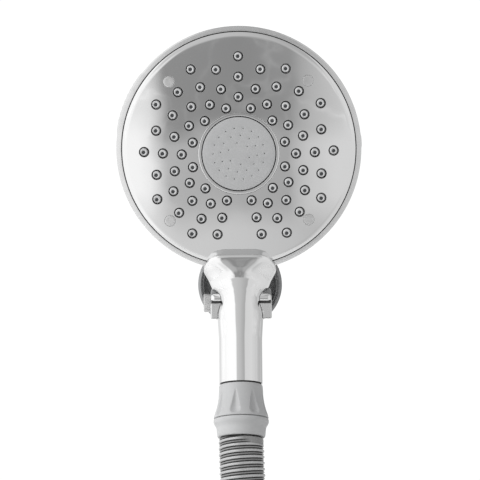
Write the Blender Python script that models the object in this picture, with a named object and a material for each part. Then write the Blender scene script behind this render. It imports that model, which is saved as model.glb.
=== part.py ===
"""A handheld shower head docked in the bracket of a shower arm.

World frame: +Z up, +X to the right of someone facing the spray, and the spray leaves along -Y.
The origin is the middle of the arm nut's mouth, where the shower arm screws in along +Y.
Lengths are in millimetres until a mesh is made, where MM turns them into metres.

Four frames hold the pieces:
  head   at the middle of the face plate's rim, its axis along the spray
  handle at the waist that the cradle grips, its Z up the leaning handle
  spray  at the middle of the nozzle pattern, a little below the head's own middle
  ball   at the middle of the bracket's pivot ball
"""

import math

import bmesh
import bpy
from mathutils import Matrix, Vector

MM = 0.001
GAP = 0.3  # between pieces that touch

# Driving dimensions, in millimetres and degrees.
HEAD_AT = (0.0, -96.0, 83.0)  # the head frame
RIM_RADIUS = 71.2  # selector ring, the widest part of the head
PLATE_RADIUS = 67.5
PLATE_DOME = 4.0  # how far the plate's middle stands before its rim
PLATE_THICK = 1.6
HANDLE_LEAN = 19.0  # the handle's foot comes forward by this angle
WAIST_FROM_HEAD = (0.0, -2.9, -91.7)  # the handle frame, seen from the head frame
HANDLE_RADIUS = 12.5
HANDLE_FOOT = -45.4  # where the handle ends, along its own axis
SPRAY_DROP = 3.0  # the nozzle pattern's middle is this far below the head's
DISC_RADIUS = 21.1
NOZZLE_FIRST_RING = 27.5
NOZZLE_RING_STEP = 5.45
NOZZLE_RINGS = 6
NOZZLE_HOLE = 2.95
NOZZLE_BODY = 2.2
NOZZLE_PROUD = 1.1
PEG_SIDES = 6  # sides of a nozzle and of the hole round it
PLUG_RADIUS = 3.2
PLUG_ORBIT = 56.8
DETENT_ORBIT = 63.0
BALL_AT = (0.0, -34.0, 0.0)
BALL_RADIUS = 11.0
CUP_RADIUS = 25.0
PIN_AT = (0.0, -74.0, -8.8)
PIN_RADIUS = 2.5
ARM_NUT_LENGTH = 20.0
THREAD_RADIUS = 10.45  # half-inch pipe thread
HOSE_RADIUS = 13.1
HANK_RUN = 273.0  # straight stretch between the hank's end loops
HANK_BEND = 76.0  # radius of an end loop, on the hose's centreline

COLOURS = {
    "chrome": ((0.80, 0.80, 0.82), 1.0, 0.08),
    "satin_chrome": ((0.62, 0.62, 0.64), 1.0, 0.28),
    "grey_plastic": ((0.55, 0.55, 0.56), 0.0, 0.35),
    "light_grey_plastic": ((0.70, 0.70, 0.70), 0.0, 0.40),
    "dark_plastic": ((0.10, 0.10, 0.105), 0.0, 0.45),
    "white_plastic": ((0.85, 0.85, 0.84), 0.0, 0.40),
    "silicone": ((0.60, 0.60, 0.61), 0.0, 0.50),
    "rubber": ((0.05, 0.05, 0.05), 0.0, 0.70),
    "brass": ((0.78, 0.60, 0.30), 1.0, 0.30),
    "steel": ((0.62, 0.62, 0.62), 1.0, 0.25),
    "hose": ((0.60, 0.60, 0.61), 1.0, 0.30),
    "tie": ((0.06, 0.06, 0.06), 0.0, 0.80),
}


def clear_scene():
    for old in list(bpy.data.objects):
        bpy.data.objects.remove(old, do_unlink=True)


def frame(name, at, lean=0.0):
    """An empty that pieces are parented to; lean tips its Z axis back about X, in degrees."""
    empty = bpy.data.objects.new(name, None)
    empty.location = Vector(at) * MM
    empty.rotation_euler = (math.radians(lean), 0.0, 0.0)
    bpy.context.scene.collection.objects.link(empty)
    bpy.context.view_layer.update()
    return empty


def finish_material(name, slot):
    """Each piece has a material of its own, with its slot's colour."""
    colour, metallic, roughness = COLOURS[slot]
    made = bpy.data.materials.new(name)
    made.use_nodes = True
    shader = made.node_tree.nodes["Principled BSDF"]
    shader.inputs["Base Color"].default_value = (*colour, 1.0)
    shader.inputs["Metallic"].default_value = metallic
    shader.inputs["Roughness"].default_value = roughness
    return made


def place(name, bm, parent, slot="dark_plastic"):
    """Turns a bmesh in millimetres into an object under its frame."""
    bmesh.ops.scale(bm, vec=(MM, MM, MM), verts=bm.verts)
    bmesh.ops.recalc_face_normals(bm, faces=bm.faces)
    mesh = bpy.data.meshes.new(name)
    bm.to_mesh(mesh)
    bm.free()
    mesh.shade_smooth()
    mesh.set_sharp_from_angle(angle=math.radians(35))
    piece = bpy.data.objects.new(name, mesh)
    bpy.context.scene.collection.objects.link(piece)
    piece.parent = parent
    mesh.materials.append(finish_material(name, slot))
    return piece


def combine(piece, other, how="DIFFERENCE"):
    """Cuts another object from a piece, or joins it on, and drops the other."""
    step = piece.modifiers.new(how.lower(), "BOOLEAN")
    step.operation = how
    step.solver = "EXACT"
    step.object = other
    bpy.context.view_layer.update()
    graph = bpy.context.evaluated_depsgraph_get()
    made = bpy.data.meshes.new_from_object(piece.evaluated_get(graph))
    piece.modifiers.clear()
    old = piece.data
    piece.data = made
    bpy.data.meshes.remove(old)
    made.name = piece.name
    while len(made.materials) > 1:
        made.materials.pop()
    for face in made.polygons:
        face.material_index = 0
    bpy.data.objects.remove(other, do_unlink=True)
    return piece


def turned(profile, segments, axis="Z", centre=(0.0, 0.0, 0.0)):
    """A closed outline of (radius, height) points turned round an axis through centre.

    A flat end that reaches the axis becomes one round face.
    """
    bm = bmesh.new()
    rings = []
    for radius, height in profile:
        ring = []
        for i in range(1 if radius < 1e-6 else segments):
            angle = 2.0 * math.pi * i / segments
            across, up = radius * math.cos(angle), radius * math.sin(angle)
            spots = {"Z": (across, up, height), "Y": (across, height, up), "X": (height, across, up)}
            ring.append(bm.verts.new(Vector(spots[axis]) + Vector(centre)))
        rings.append((ring, height))
    for (first, low), (second, high) in zip(rings, rings[1:] + rings[:1]):
        if len(first) != len(second) and abs(low - high) < 1e-6:
            bm.faces.new(max(first, second, key=len))
            continue
        for i in range(segments):
            j = (i + 1) % segments
            corners = [first[i % len(first)], first[j % len(first)]]
            corners += [second[j % len(second)], second[i % len(second)]]
            corners = list(dict.fromkeys(corners))
            if len(corners) > 2:
                bm.faces.new(corners)
    loose = [vert for vert in bm.verts if not vert.link_faces]
    bmesh.ops.delete(bm, geom=loose, context="VERTS")
    return bm


def rod(radius, low, high, segments=24, axis="Z", centre=(0.0, 0.0, 0.0)):
    return turned([(0, low), (radius, low), (radius, high), (0, high)], segments, axis, centre)


def washer(inner, outer, low, high, segments=24, axis="Z", centre=(0.0, 0.0, 0.0)):
    return turned([(inner, low), (outer, low), (outer, high), (inner, high)], segments, axis, centre)


def o_ring(radius, thick, height, segments=32, axis="Z", sides=8, centre=(0.0, 0.0, 0.0)):
    round_it = [2.0 * math.pi * i / sides for i in range(sides)]
    profile = [(radius + thick * math.cos(a), height + thick * math.sin(a)) for a in round_it]
    return turned(profile, segments, axis, centre)


def block(low, high):
    bm = bmesh.new()
    bmesh.ops.create_cube(bm, size=1.0)
    low, high = Vector(low), Vector(high)
    for vert in bm.verts:
        vert.co = Vector(low[k] + (vert.co[k] + 0.5) * (high[k] - low[k]) for k in range(3))
    return bm


def extruded(outline, low, high, axis="X"):
    """A closed outline of two-number points pushed along an axis, from low to high.

    The two numbers are the other two axes in X, Y, Z order.
    """
    bm = bmesh.new()
    slot = {"X": 0, "Y": 1, "Z": 2}[axis]
    ends = []
    for level in (low, high):
        ring = []
        for pair in outline:
            spot = list(pair)
            spot.insert(slot, level)
            ring.append(bm.verts.new(spot))
        ends.append(ring)
    bm.faces.new(ends[0])
    bm.faces.new(reversed(ends[1]))
    count = len(outline)
    for i in range(count):
        j = (i + 1) % count
        bm.faces.new([ends[0][i], ends[1][i], ends[1][j], ends[0][j]])
    return bm


def lofted(sections):
    """A skin over rings of points, closed at both ends."""
    bm = bmesh.new()
    rings = [[bm.verts.new(point) for point in section] for section in sections]
    for low, high in zip(rings, rings[1:]):
        for i in range(len(low)):
            j = (i + 1) % len(low)
            bm.faces.new([low[i], low[j], high[j], high[i]])
    bm.faces.new(rings[0])
    bm.faces.new(rings[-1])
    return bm


def oval(half_width, front, back, height, count=20, squareness=2.2):
    """A rounded section: half_width to each side, and from y = front to y = back."""
    middle, deep = (front + back) / 2.0, (back - front) / 2.0
    points = []
    for i in range(count):
        angle = 2.0 * math.pi * i / count
        c, s = math.cos(angle), math.sin(angle)
        across = math.copysign(abs(c) ** (2.0 / squareness), c) * half_width
        deepness = math.copysign(abs(s) ** (2.0 / squareness), s) * deep
        points.append((across, middle + deepness, height))
    return points


def arc(radius, start, stop, count, centre=(0.0, 0.0)):
    """Points along an arc, angles in degrees."""
    steps = [math.radians(start + (stop - start) * i / (count - 1)) for i in range(count)]
    return [(centre[0] + radius * math.cos(a), centre[1] + radius * math.sin(a)) for a in steps]


def dome_height(radius):
    """Where the face plate's front lies at a distance from its middle."""
    return -PLATE_DOME * (1.0 - (radius / PLATE_RADIUS) ** 2)


def nozzle_places():
    """(x, z) of every nozzle in the head frame.

    Rings alternate between twelve nozzles and eleven, whose lowest is left out. Each ring's
    middle drifts up from the centre disc's towards the plate's as the rings grow.
    """
    places = []
    for ring in range(NOZZLE_RINGS):
        radius = NOZZLE_FIRST_RING + NOZZLE_RING_STEP * ring
        share = (radius**2 - NOZZLE_FIRST_RING**2) / (PLATE_RADIUS**2 - NOZZLE_FIRST_RING**2)
        drop = SPRAY_DROP * (1.0 - share)
        for turn in range(12):
            angle = 30 * turn + (0 if ring % 2 else 15)
            if ring % 2 and angle == 270:
                continue
            a = math.radians(angle)
            places.append((radius * math.cos(a), radius * math.sin(a) - drop))
    return places


def add_peg(bm, x, z, levels):
    """An upright peg at (x, z), from (depth, radius) levels, closed at both ends."""
    rings = []
    for depth, wide in levels:
        ring = []
        for i in range(PEG_SIDES):
            a = 2.0 * math.pi * i / PEG_SIDES
            ring.append(bm.verts.new((x + wide * math.cos(a), depth, z + wide * math.sin(a))))
        rings.append(ring)
    bm.faces.new(rings[0])
    bm.faces.new(reversed(rings[-1]))
    for low, high in zip(rings, rings[1:]):
        for i in range(PEG_SIDES):
            j = (i + 1) % PEG_SIDES
            bm.faces.new([low[i], high[i], high[j], low[j]])


def plug_places():
    """Middles of the four round plugs, on the diagonals of the plate."""
    spots = []
    for angle in (45, 135, 225, 315):
        a = math.radians(angle)
        spots.append((PLUG_ORBIT * math.cos(a), PLUG_ORBIT * math.sin(a) - 1.0))
    return spots


def make_face(head, spray):
    """Everything that the spray face is made of, apart from what turns."""
    radii = (28.0, 50.0, PLATE_RADIUS)
    front = [(0.0, -PLATE_DOME)] + [(r, dome_height(r)) for r in radii]
    skirt = [(PLATE_RADIUS, 3.6), (PLATE_RADIUS - 1.8, 3.6), (PLATE_RADIUS - 1.8, PLATE_THICK)]
    back = [(r, dome_height(r) + PLATE_THICK) for r in (48.0, 25.0)] + [(0.0, PLATE_THICK - PLATE_DOME)]
    plate = place("face_plate", turned(front + skirt + back, 40, "Y"), head, "chrome")
    centre = (0.0, 0.0, -SPRAY_DROP)
    combine(plate, place("window", rod(23.9, -9.0, 9.0, 38, "Y", centre), head))
    holes = bmesh.new()
    for x, z in nozzle_places():
        add_peg(holes, x, z, [(-8.0, NOZZLE_HOLE), (3.0, NOZZLE_HOLE)])
    for x, z in plug_places():
        add_peg(holes, x, z, [(-8.0, PLUG_RADIUS + 1.2), (3.0, PLUG_RADIUS + 1.2)])
    combine(plate, place("holes", holes, head))

    mat = place("nozzle_mat", rod(64.6, 2.1, 3.5, 40, "Y"), head, "silicone")
    combine(mat, place("window", rod(24.2, 0.0, 9.0, 34, "Y", centre), head))
    nubs = bmesh.new()
    for x, z in nozzle_places():
        tip = dome_height(math.hypot(x, z)) - NOZZLE_PROUD
        add_peg(nubs, x, z, [(2.8, NOZZLE_BODY), (tip, NOZZLE_BODY)])
    combine(mat, place("nubs", nubs, head), "UNION")

    ring_profile = [(21.5, -4.3), (22.0, -4.8), (23.2, -4.6), (23.6, -4.0), (23.6, 3.2), (21.5, 3.2)]
    place("centre_ring", turned(ring_profile, 28, "Y"), spray, "satin_chrome")
    disc_profile = [(0, -4.4), (12, -4.3), (20.6, -4.0), (21.1, -3.6), (21.1, 3.6), (18.0, 3.6),
                    (18.0, -1.2), (0, -1.2)]
    place("mist_disc", turned(disc_profile, 28, "Y"), spray, "light_grey_plastic")

    for number, (x, z) in enumerate(plug_places(), start=1):
        top = dome_height(math.hypot(x, z)) - 0.2
        plug = rod(PLUG_RADIUS, top, top + 1.9, 12, "Y", (x, 0.0, z))
        place(f"face_plug_{number}", plug, head, "chrome")

    walls = [(0, 3.9), (64.6, 3.9), (64.6, 7.7), (62.8, 7.7), (62.8, 5.9), (46, 5.9), (45, 7.7), (44, 5.9),
             (28, 5.9), (27, 7.7), (8.0, 7.7), (8.0, 15.0), (0, 15.0)]
    distributor = place("water_distributor", turned(walls, 24, "Y"), head, "white_plastic")
    ports = bmesh.new()
    for orbit in (36.0, 54.0):
        for i in range(6):
            a = 2.0 * math.pi * (i + 0.3) / 6
            add_peg(ports, orbit * math.cos(a), orbit * math.sin(a), [(2.0, 3.0), (9.0, 3.0)])
    combine(distributor, place("ports", ports, head))
    combine(distributor, place("screw_way", rod(2.3, 6.0, 20.0, 16, "Y"), head))
    place("distributor_seal", o_ring(65.7, 0.6, 5.2, 32, "Y", 4), head, "rubber")
    screw = [(0, 7.0), (1.9, 7.0), (1.9, 24.0), (0, 24.0)]
    place("centre_screw", turned(screw, 16, "Y"), head, "steel")
    place("turbine_pin", rod(1.2, -0.9, 3.5, 12, "Y"), spray, "steel")


def make_turbine(spray):
    """A wheel with six blades, free on its pin behind the mist disc."""
    wheel = place("turbine", washer(1.5, 5.0, -0.4, 2.9, 18, "Y"), spray, "white_plastic")
    for i in range(6):
        blade = place("blade", block((4.5, -0.4, -0.8), (15.5, 2.9, 0.8)), spray)
        blade.matrix_basis = Matrix.Rotation(2.0 * math.pi * i / 6, 4, "Y")
        combine(wheel, blade, "UNION")


def make_selector(head):
    """What the thumb turns: the outer ring, its carrier and the diverter disc."""
    band = [(67.9, 0.5), (68.6, 0.0), (70.4, 0.2), (RIM_RADIUS, 1.2), (RIM_RADIUS, 9.0), (67.9, 9.0)]
    ring = place("selector_ring", turned(band, 52, "Y"), head, "satin_chrome")
    lobe = []
    for angle in (146, 150, 155, 162, 167, 171):
        lift = 0.9 if 148 < angle < 170 else 0.1
        a = math.radians(angle)
        lobe.append(((RIM_RADIUS + lift) * math.cos(a), (RIM_RADIUS + lift) * math.sin(a)))
    inner = [((RIM_RADIUS - 1.2) * math.cos(math.radians(a)), (RIM_RADIUS - 1.2) * math.sin(math.radians(a)))
             for a in (171, 158, 146)]
    combine(ring, place("lobe", extruded(lobe + inner, 1.6, 7.8, "Y"), head), "UNION")

    hub = [(8.4, 8.1), (66.9, 8.1), (66.9, 10.3), (8.4, 10.3)]
    carrier = place("ring_carrier", turned(hub, 30, "Y"), head, "dark_plastic")
    for start in (10, 130, 250):
        outer = arc(60.0, start, start + 100, 7)
        inner = arc(32.0, start + 100, start, 5)
        combine(carrier, place("window", extruded(outer + inner, 5.0, 13.0, "Y"), head))
    diverter = place("diverter_disc", washer(8.4, 30.0, 10.6, 13.0, 28, "Y"), head, "white_plastic")
    for angle in (90, 210, 330):
        a = math.radians(angle)
        hole = rod(4.0, 8.0, 16.0, 10, "Y", (19.0 * math.cos(a), 0.0, 19.0 * math.sin(a)))
        combine(diverter, place("hole", hole, head))


def make_housing(head, handle):
    """The chrome shell of head and handle in one piece, with its waterway."""
    outside = [(0, 9.4), (70.9, 9.4), (70.9, 12.0), (68.4, 18.5), (61.5, 25.4), (48.0, 31.6), (28.0, 36.2),
               (0, 38.0)]
    hollow = [(0, 6.0), (68.3, 6.0), (68.3, 11.6), (65.4, 17.6), (57.6, 24.4), (43.0, 30.2), (0, 35.4)]
    shell = place("head_housing", turned(outside, 44, "Y"), head, "chrome")

    # (height up the handle, half width, front, back) of the outside, foot to shoulder.
    stations = [(HANDLE_FOOT, HANDLE_RADIUS, -HANDLE_RADIUS, HANDLE_RADIUS), (-20.0, 12.55, -12.6, 12.5),
                (-14.0, 12.9, -12.6, 12.5), (-7.5, 13.3, -12.65, 12.5), (-3.5, 13.1, -12.65, 12.4),
                (1.5, 11.4, -12.65, 12.3), (5.0, 11.3, -12.65, 12.2), (8.2, 14.2, -12.7, 12.0),
                (12.0, 16.7, -12.75, 10.8), (15.5, 18.2, -13.1, 8.6), (20.6, 21.0, -14.45, 5.0),
                (25.5, 18.6, -15.75, 2.0), (28.0, 15.0, -16.3, -0.5), (29.2, 9.0, -16.2, -3.0)]
    body = [oval(wide, front, back, up) for up, wide, front, back in stations]
    grip = place("grip", lofted(body), handle)

    spine_stations = [(2.0, 9.5, -6.0, 11.6), (14.0, 13.0, -4.0, 12.6), (28.0, 15.0, -2.0, 15.0),
                      (44.0, 15.0, 6.0, 18.0), (60.0, 12.0, 12.0, 20.0)]
    spine = [oval(wide, front, back, up) for up, wide, front, back in spine_stations]
    combine(grip, place("spine", lofted(spine), handle), "UNION")

    # Room for the face and its ring, then the hollow of the head.
    combine(grip, place("face_room", rod(RIM_RADIUS + 1.4, -1.9, 9.35, 60, "Y"), head))
    combine(shell, grip, "UNION")
    combine(shell, place("hollow", turned(hollow, 30, "Y"), head))
    post = place("post", turned([(2.3, 15.4), (7.6, 15.4), (7.6, 36.4), (2.3, 36.4)], 20, "Y"), head)
    combine(shell, post, "UNION")

    # The waterway up the handle, wider at its foot for the inlet spigot.
    bore = [(0, -60.0), (9.3, -60.0), (9.3, -30.0), (7.2, -28.0), (7.2, 3.0), (0, 3.0)]
    combine(shell, place("bore", turned(bore, 24), handle))
    channel = [oval(wide, front, back, up, 12) for up, wide, front, back in
               ((2.0, 4.8, -4.8, 4.8), (12.0, 7.0, 0.8, 8.4), (19.0, 8.0, 5.9, 10.6), (28.0, 8.0, 6.8, 12.2),
                (42.0, 8.0, 9.0, 14.0))]
    combine(shell, place("channel", lofted(channel), handle))
    spot = (0.0, 0.0, DETENT_ORBIT)
    combine(shell, place("detent_boss", washer(2.3, 3.8, 12.2, 21.0, 12, "Y", spot), head), "UNION")


def make_inlet(handle):
    """The parts that carry water into the handle, from the foot upwards."""
    tube = [(4.8, -29.5), (6.8, -27.6), (6.8, 2.4), (4.8, 2.4)]
    place("waterway_tube", turned(tube, 20), handle, "white_plastic")
    outer = THREAD_RADIUS - 1.2
    spigot = [(5.2, -58.0), (outer - 0.4, -58.0), (outer, -57.2), (outer, -46.8), (9.0, -46.2), (9.0, -31.8),
              (5.2, -31.8)]
    place("inlet_spigot", turned(spigot, 20), handle, "brass")
    place("tube_o_ring", o_ring(5.9, 0.7, -30.75, 20, "Z", 6), handle, "rubber")
    place("flow_restrictor", washer(1.6, 4.9, -54.0, -51.0, 16), handle, "white_plastic")
    place("inlet_screen", washer(0.9, 8.6, -59.0, -58.3, 16), handle, "steel")
    place("hose_washer", washer(5.6, 9.4, -61.4, -59.3, 20), handle, "rubber")


def fluted(profile, segments, flutes, low, high, deep, phase):
    """A turned piece with teardrop flutes sunk into its outside, wide at the bottom."""
    bm = turned(profile, segments)
    for vert in bm.verts:
        radius = math.hypot(vert.co.x, vert.co.y)
        if radius < 11.5 or not low < vert.co.z < high:
            continue
        along = (high - vert.co.z) / (high - low)
        half = 0.5 * math.radians(360 / flutes) * (0.15 + 0.5 * along)
        angle = (math.atan2(vert.co.y, vert.co.x) - phase) % (2 * math.pi / flutes)
        off = min(angle, 2 * math.pi / flutes - angle) / half
        sink = deep * math.sin(math.pi * min(1.0, along * 1.1)) * max(0.0, 1.0 - off * off)
        scale = (radius - sink) / radius
        vert.co.x *= scale
        vert.co.y *= scale
    return bm


def make_hose_end(handle):
    """The swivelling nut at the handle's foot, and the hose's fitting inside it."""
    outside = [(12.3, -46.3), (12.7, -50.0), (13.2, -55.4), (14.1, -60.2), (15.5, -64.3), (15.5, -65.6)]
    inside = [(9.0, -65.6), (9.0, -64.2), (10.1, -64.2), (10.1, -46.3)]
    nut = fluted(outside + inside, 32, 8, -64.0, -49.5, 0.9, math.radians(-90 - 13.7))
    place("hose_nut", nut, handle, "grey_plastic")
    insert = [(5.2, -61.7), (9.7, -61.7), (9.7, -63.8), (8.6, -64.0), (8.6, -76.0), (5.2, -76.0)]
    place("hose_insert", turned(insert, 24), handle, "brass")
    collar = [(8.9, -65.9), (15.4, -65.9), (15.8, -67.4), (15.4, -69.0), (14.2, -71.4), (13.8, -75.6),
              (13.2, -76.4), (8.9, -76.4)]
    place("crimp_collar", turned(collar, 24), handle, "grey_plastic")


# The hose's free stretch, in millimetres in the world frame, from the crimp collar down.
HOSE_ROUTE = [
    (0.0, -123.87, -81.22),
    (0.1, -127.3, -91.3),
    (0.5, -130.7, -103.0),
    (0.85, -133.3, -115.5),
    (0.8, -135.0, -128.5),
    (0.3, -135.9, -142.0),
    (0.0, -136.2, -156.0),
]
HOSE_POINT_STEP = 27.7  # from one point of its centreline to the next
HANK_LAYER = 2.0 * HOSE_RADIUS + 0.4  # from one turn to the one beside it
HANK_TOP_BEND = -216.8  # height of the upper end loop's middle


def smooth(points, step):
    """A Catmull-Rom curve through points, read off about every step."""
    spots = [Vector(p) for p in points]
    spots = [spots[0] * 2 - spots[1]] + spots + [spots[-1] * 2 - spots[-2]]
    made = []
    for a, b, c, d in zip(spots, spots[1:], spots[2:], spots[3:]):
        count = max(1, round((c - b).length / step))
        for i in range(count):
            t = i / count
            made.append(0.5 * (2 * b + (c - a) * t + (2 * a - 5 * b + 4 * c - d) * t**2
                               + (3 * b - a - 3 * c + d) * t**3))
    made.append(spots[-2])
    return made


def make_hose():
    """The hose from the collar down, and the rest of its length folded into a tied hank."""
    top_of_hank = HANK_TOP_BEND + math.sqrt((HANK_BEND + HOSE_RADIUS) ** 2 - (HANK_BEND - HOSE_RADIUS) ** 2)
    down_to = top_of_hank + GAP
    route = [p for p in HOSE_ROUTE if p[2] > down_to] + [(0.0, HOSE_ROUTE[-1][1], down_to)]
    points = smooth(route, HOSE_POINT_STEP)
    curve = bpy.data.curves.new("hose", "CURVE")
    curve.dimensions = "3D"
    curve.bevel_depth = HOSE_RADIUS * MM
    curve.bevel_resolution = 4
    curve.use_fill_caps = True
    line = curve.splines.new("POLY")
    line.points.add(len(points) - 1)
    for spot, point in zip(line.points, points):
        spot.co = (*(point * MM), 1.0)
    tube = bpy.data.objects.new("hose", curve)
    curve.materials.append(finish_material("hose", "hose"))
    bpy.context.scene.collection.objects.link(tube)

    front = HOSE_ROUTE[-1][1]
    middle, top, bottom = front + HANK_BEND, HANK_TOP_BEND, HANK_TOP_BEND - HANK_RUN
    low_x, high_x = -HOSE_RADIUS, HANK_LAYER + HOSE_RADIUS

    def racetrack(radius):
        return arc(radius, 0, 180, 13, (middle, top)) + arc(radius, 180, 360, 13, (middle, bottom))

    hank = place("hose_hank", extruded(racetrack(HANK_BEND + HOSE_RADIUS), low_x, high_x), None, "hose")
    hole = place("hole", extruded(racetrack(HANK_BEND - HOSE_RADIUS), low_x - 5, high_x + 5), None)
    combine(hank, hole)

    tie_middle = top - 60.0
    reach = HOSE_RADIUS + GAP
    band = place("hose_tie", block((low_x - GAP - 1.6, front - reach - 1.6, tie_middle - 8.0),
                                   (high_x + GAP + 1.6, front + reach + 1.6, tie_middle + 8.0)), None, "tie")
    room = place("room", block((low_x - GAP, front - reach, tie_middle - 20.0),
                               (high_x + GAP, front + reach, tie_middle + 20.0)), None)
    combine(band, room)


def make_far_end(far):
    """The fitting and nut on the hose's free end, which hangs from the hank."""
    collar = [(8.9, -0.4), (13.2, -0.4), (13.6, -1.2), (13.2, -9.5), (12.6, -10.4), (8.9, -10.4)]
    place("end_collar", turned(collar, 24), far, "grey_plastic")
    insert = [(5.2, -0.6), (8.6, -0.6), (8.6, -16.0), (9.7, -16.2), (9.7, -18.2), (5.2, -18.2)]
    place("end_insert", turned(insert, 20), far, "brass")
    nut = place("end_nut", turned([(0, -10.7), (14.6, -10.7), (15.2, -11.4), (15.2, -26.2), (14.6, -27.0),
                                   (0, -27.0)], 6), far, "grey_plastic")
    way = [(0, -5.0), (9.0, -5.0), (9.0, -15.8), (10.5, -15.8), (10.5, -35.0), (0, -35.0)]
    combine(nut, place("way", turned(way, 20), far))
    place("end_washer", washer(5.6, 8.6, -20.6, -18.5, 16), far, "rubber")


def make_detent(head):
    """The sprung plunger that rides in the carrier's track."""
    outline = [(0, 10.6), (1.2, 10.8), (2.0, 11.7), (2.0, 14.4), (0, 14.4)]
    place("detent_plunger", turned(outline, 12, "Y", (0.0, 0.0, DETENT_ORBIT)), head, "brass")


def make_cradle(handle, pin):
    """The forked cradle that grips the handle's waist, and what holds it on its pin."""
    inner = [(13.8, -9.7), (13.85, -7.5), (13.5, -3.5), (11.95, 1.0), (11.75, 4.6), (13.0, 6.2), (15.2, 7.9)]
    for side, outer in ((-1, 17.2), (1, 18.3)):
        outline = inner + [(outer - 0.6, 7.9), (outer, 7.2), (outer, -9.0), (outer - 0.8, -9.7)]
        outline = [(side * x, z) for x, z in outline]
        if side < 0:
            cradle = place("cradle", extruded(outline, -7.2, 30.0, "Y"), handle, "satin_chrome")
        else:
            combine(cradle, place("arm", extruded(outline, -7.2, 30.0, "Y"), handle), "UNION")
    combine(cradle, place("web", block((-14.5, 13.3, -9.0), (14.5, 16.9, 6.0)), handle), "UNION")
    under = [(-20.0, -13.2), (40.0, 4.8), (40.0, -30.0), (-20.0, -30.0)]
    combine(cradle, place("under", extruded(under, -30.0, 30.0, "X"), handle))
    for side, outer in ((-1, 17.1), (1, 18.2)):
        ear = rod(7.0, 9.5, outer, 24, "X")
        if side < 0:
            bmesh.ops.scale(ear, vec=(-1, 1, 1), verts=ear.verts)
        combine(cradle, place("ear", ear, pin), "UNION")
    way = [(0, -30), (PIN_RADIUS + GAP, -30), (PIN_RADIUS + GAP, 15.0), (5.0, 15.0), (5.0, 30), (0, 30)]
    combine(cradle, place("pin_way", turned(way, 16, "X"), pin))

    head = [(0, -21.6), (4.9, -21.6), (5.45, -21.0), (5.45, -17.5), (PIN_RADIUS, -17.5), (PIN_RADIUS, 17.9),
            (0, 17.9)]
    place("pivot_pin", turned(head, 20, "X"), pin, "satin_chrome")
    nut = place("pin_nut", rod(4.6, 15.3, 18.0, 6, "X"), pin, "steel")
    combine(nut, place("way", rod(PIN_RADIUS + GAP, 10.0, 25.0, 14, "X"), pin))
    place("friction_washer_left", washer(PIN_RADIUS + GAP, 5.8, -9.2, -8.3, 20, "X"), pin, "rubber")
    place("friction_washer_right", washer(PIN_RADIUS + GAP, 5.8, 8.3, 9.2, 20, "X"), pin, "rubber")


def make_bracket(ball, pin):
    """The bracket: cup, waterway column, outlet and lug in one moulding, and its swivel parts."""
    seat = BALL_RADIUS + 2.0
    profile = [(CUP_RADIUS - 0.8, -24.0), (CUP_RADIUS, -23.0), (CUP_RADIUS, -11.0), (22.0, -7.6),
               (17.4, -7.6), (17.4, 2.0)]
    for angle in (9, -6, -21, -36):
        profile.append((seat * math.cos(math.radians(angle)), seat * math.sin(math.radians(angle))))
    profile += [(8.9, -8.6), (8.9, -12.2), (4.6, -12.2), (4.6, -15.0), (21.8, -15.0), (22.2, -24.0)]
    body = place("bracket_body", turned(profile, 24, "Y"), ball, "dark_plastic")
    combine(body, place("column", rod(8.0, -30.0, 8.0, 16, "Z", (0.0, -20.5, 0.0)), ball), "UNION")
    lug = arc(6.2, 200, 20, 9, (-40.0, -8.8)) + arc(7.6, 60, -70, 6, (-21.0, -5.0))
    lug.append((-38.0, -14.8))
    combine(body, place("lug", extruded(lug, -8.0, 8.0), ball), "UNION")
    thread = THREAD_RADIUS
    nipple = [(0, -23.0), (thread, -23.5), (thread, -42.2), (thread - 0.8, -43.0), (0, -43.0)]
    combine(body, place("nipple", turned(nipple, 20, "Z", (0.0, -19.0, 0.0)), ball), "UNION")
    combine(body, place("down", rod(5.0, -60.0, 2.0, 16, "Z", (0.0, -19.5, 0.0)), ball))
    combine(body, place("across", rod(4.5, -18.0, -11.5, 14, "Y"), ball))
    combine(body, place("pin_way", rod(PIN_RADIUS + GAP, -30, 30, 16, "X"), pin))

    place("ball_seal", o_ring(7.2, 1.2, -10.15, 24, "Y", 6), ball, "rubber")
    for name, low, high in (("front_seat", -24, -9), ("rear_seat", 10, 34)):
        outer = arc(BALL_RADIUS + 1.7, low, high, 3)
        inner = arc(BALL_RADIUS + GAP, high, low, 3)
        place(name, turned(outer + inner, 24, "Y"), ball, "white_plastic")
    collar = [(17.8, -6.6), (20.6, -6.6), (21.2, -5.8), (21.2, 8.0), (20.0, 9.4), (9.7, 9.4)]
    collar += arc(seat, 42, 12, 4) + [(17.8, 2.7)]
    place("swivel_collar", turned(collar, 24, "Y"), ball, "dark_plastic")


def make_arm_fitting(ball):
    """What stays on the shower arm: the nut, the ball and stem, the screen and its washer."""
    back = -BALL_AT[1]
    front = back - ARM_NUT_LENGTH
    sphere = arc(BALL_RADIUS, -66, 52, 9)
    ball_profile = sphere + [(6.8, 9.6), (6.8, back - 15.4), (4.4, back - 15.4), (4.4, sphere[0][1])]
    place("pivot_ball", turned(ball_profile, 24, "Y"), ball, "chrome")
    mouth = THREAD_RADIUS - 0.2
    nut = [(7.1, front), (15.6, front), (15.6, back), (mouth, back), (mouth, back - 15.0)]
    nut.append((7.1, back - 15.0))
    place("arm_nut", turned(nut, 24, "Y"), ball, "satin_chrome")
    place("filter_screen", washer(0.9, 9.8, back - 14.7, back - 13.9, 16, "Y"), ball, "steel")
    place("arm_washer", washer(6.6, 9.9, back - 13.6, back - 11.4, 20, "Y"), ball, "rubber")


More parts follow.
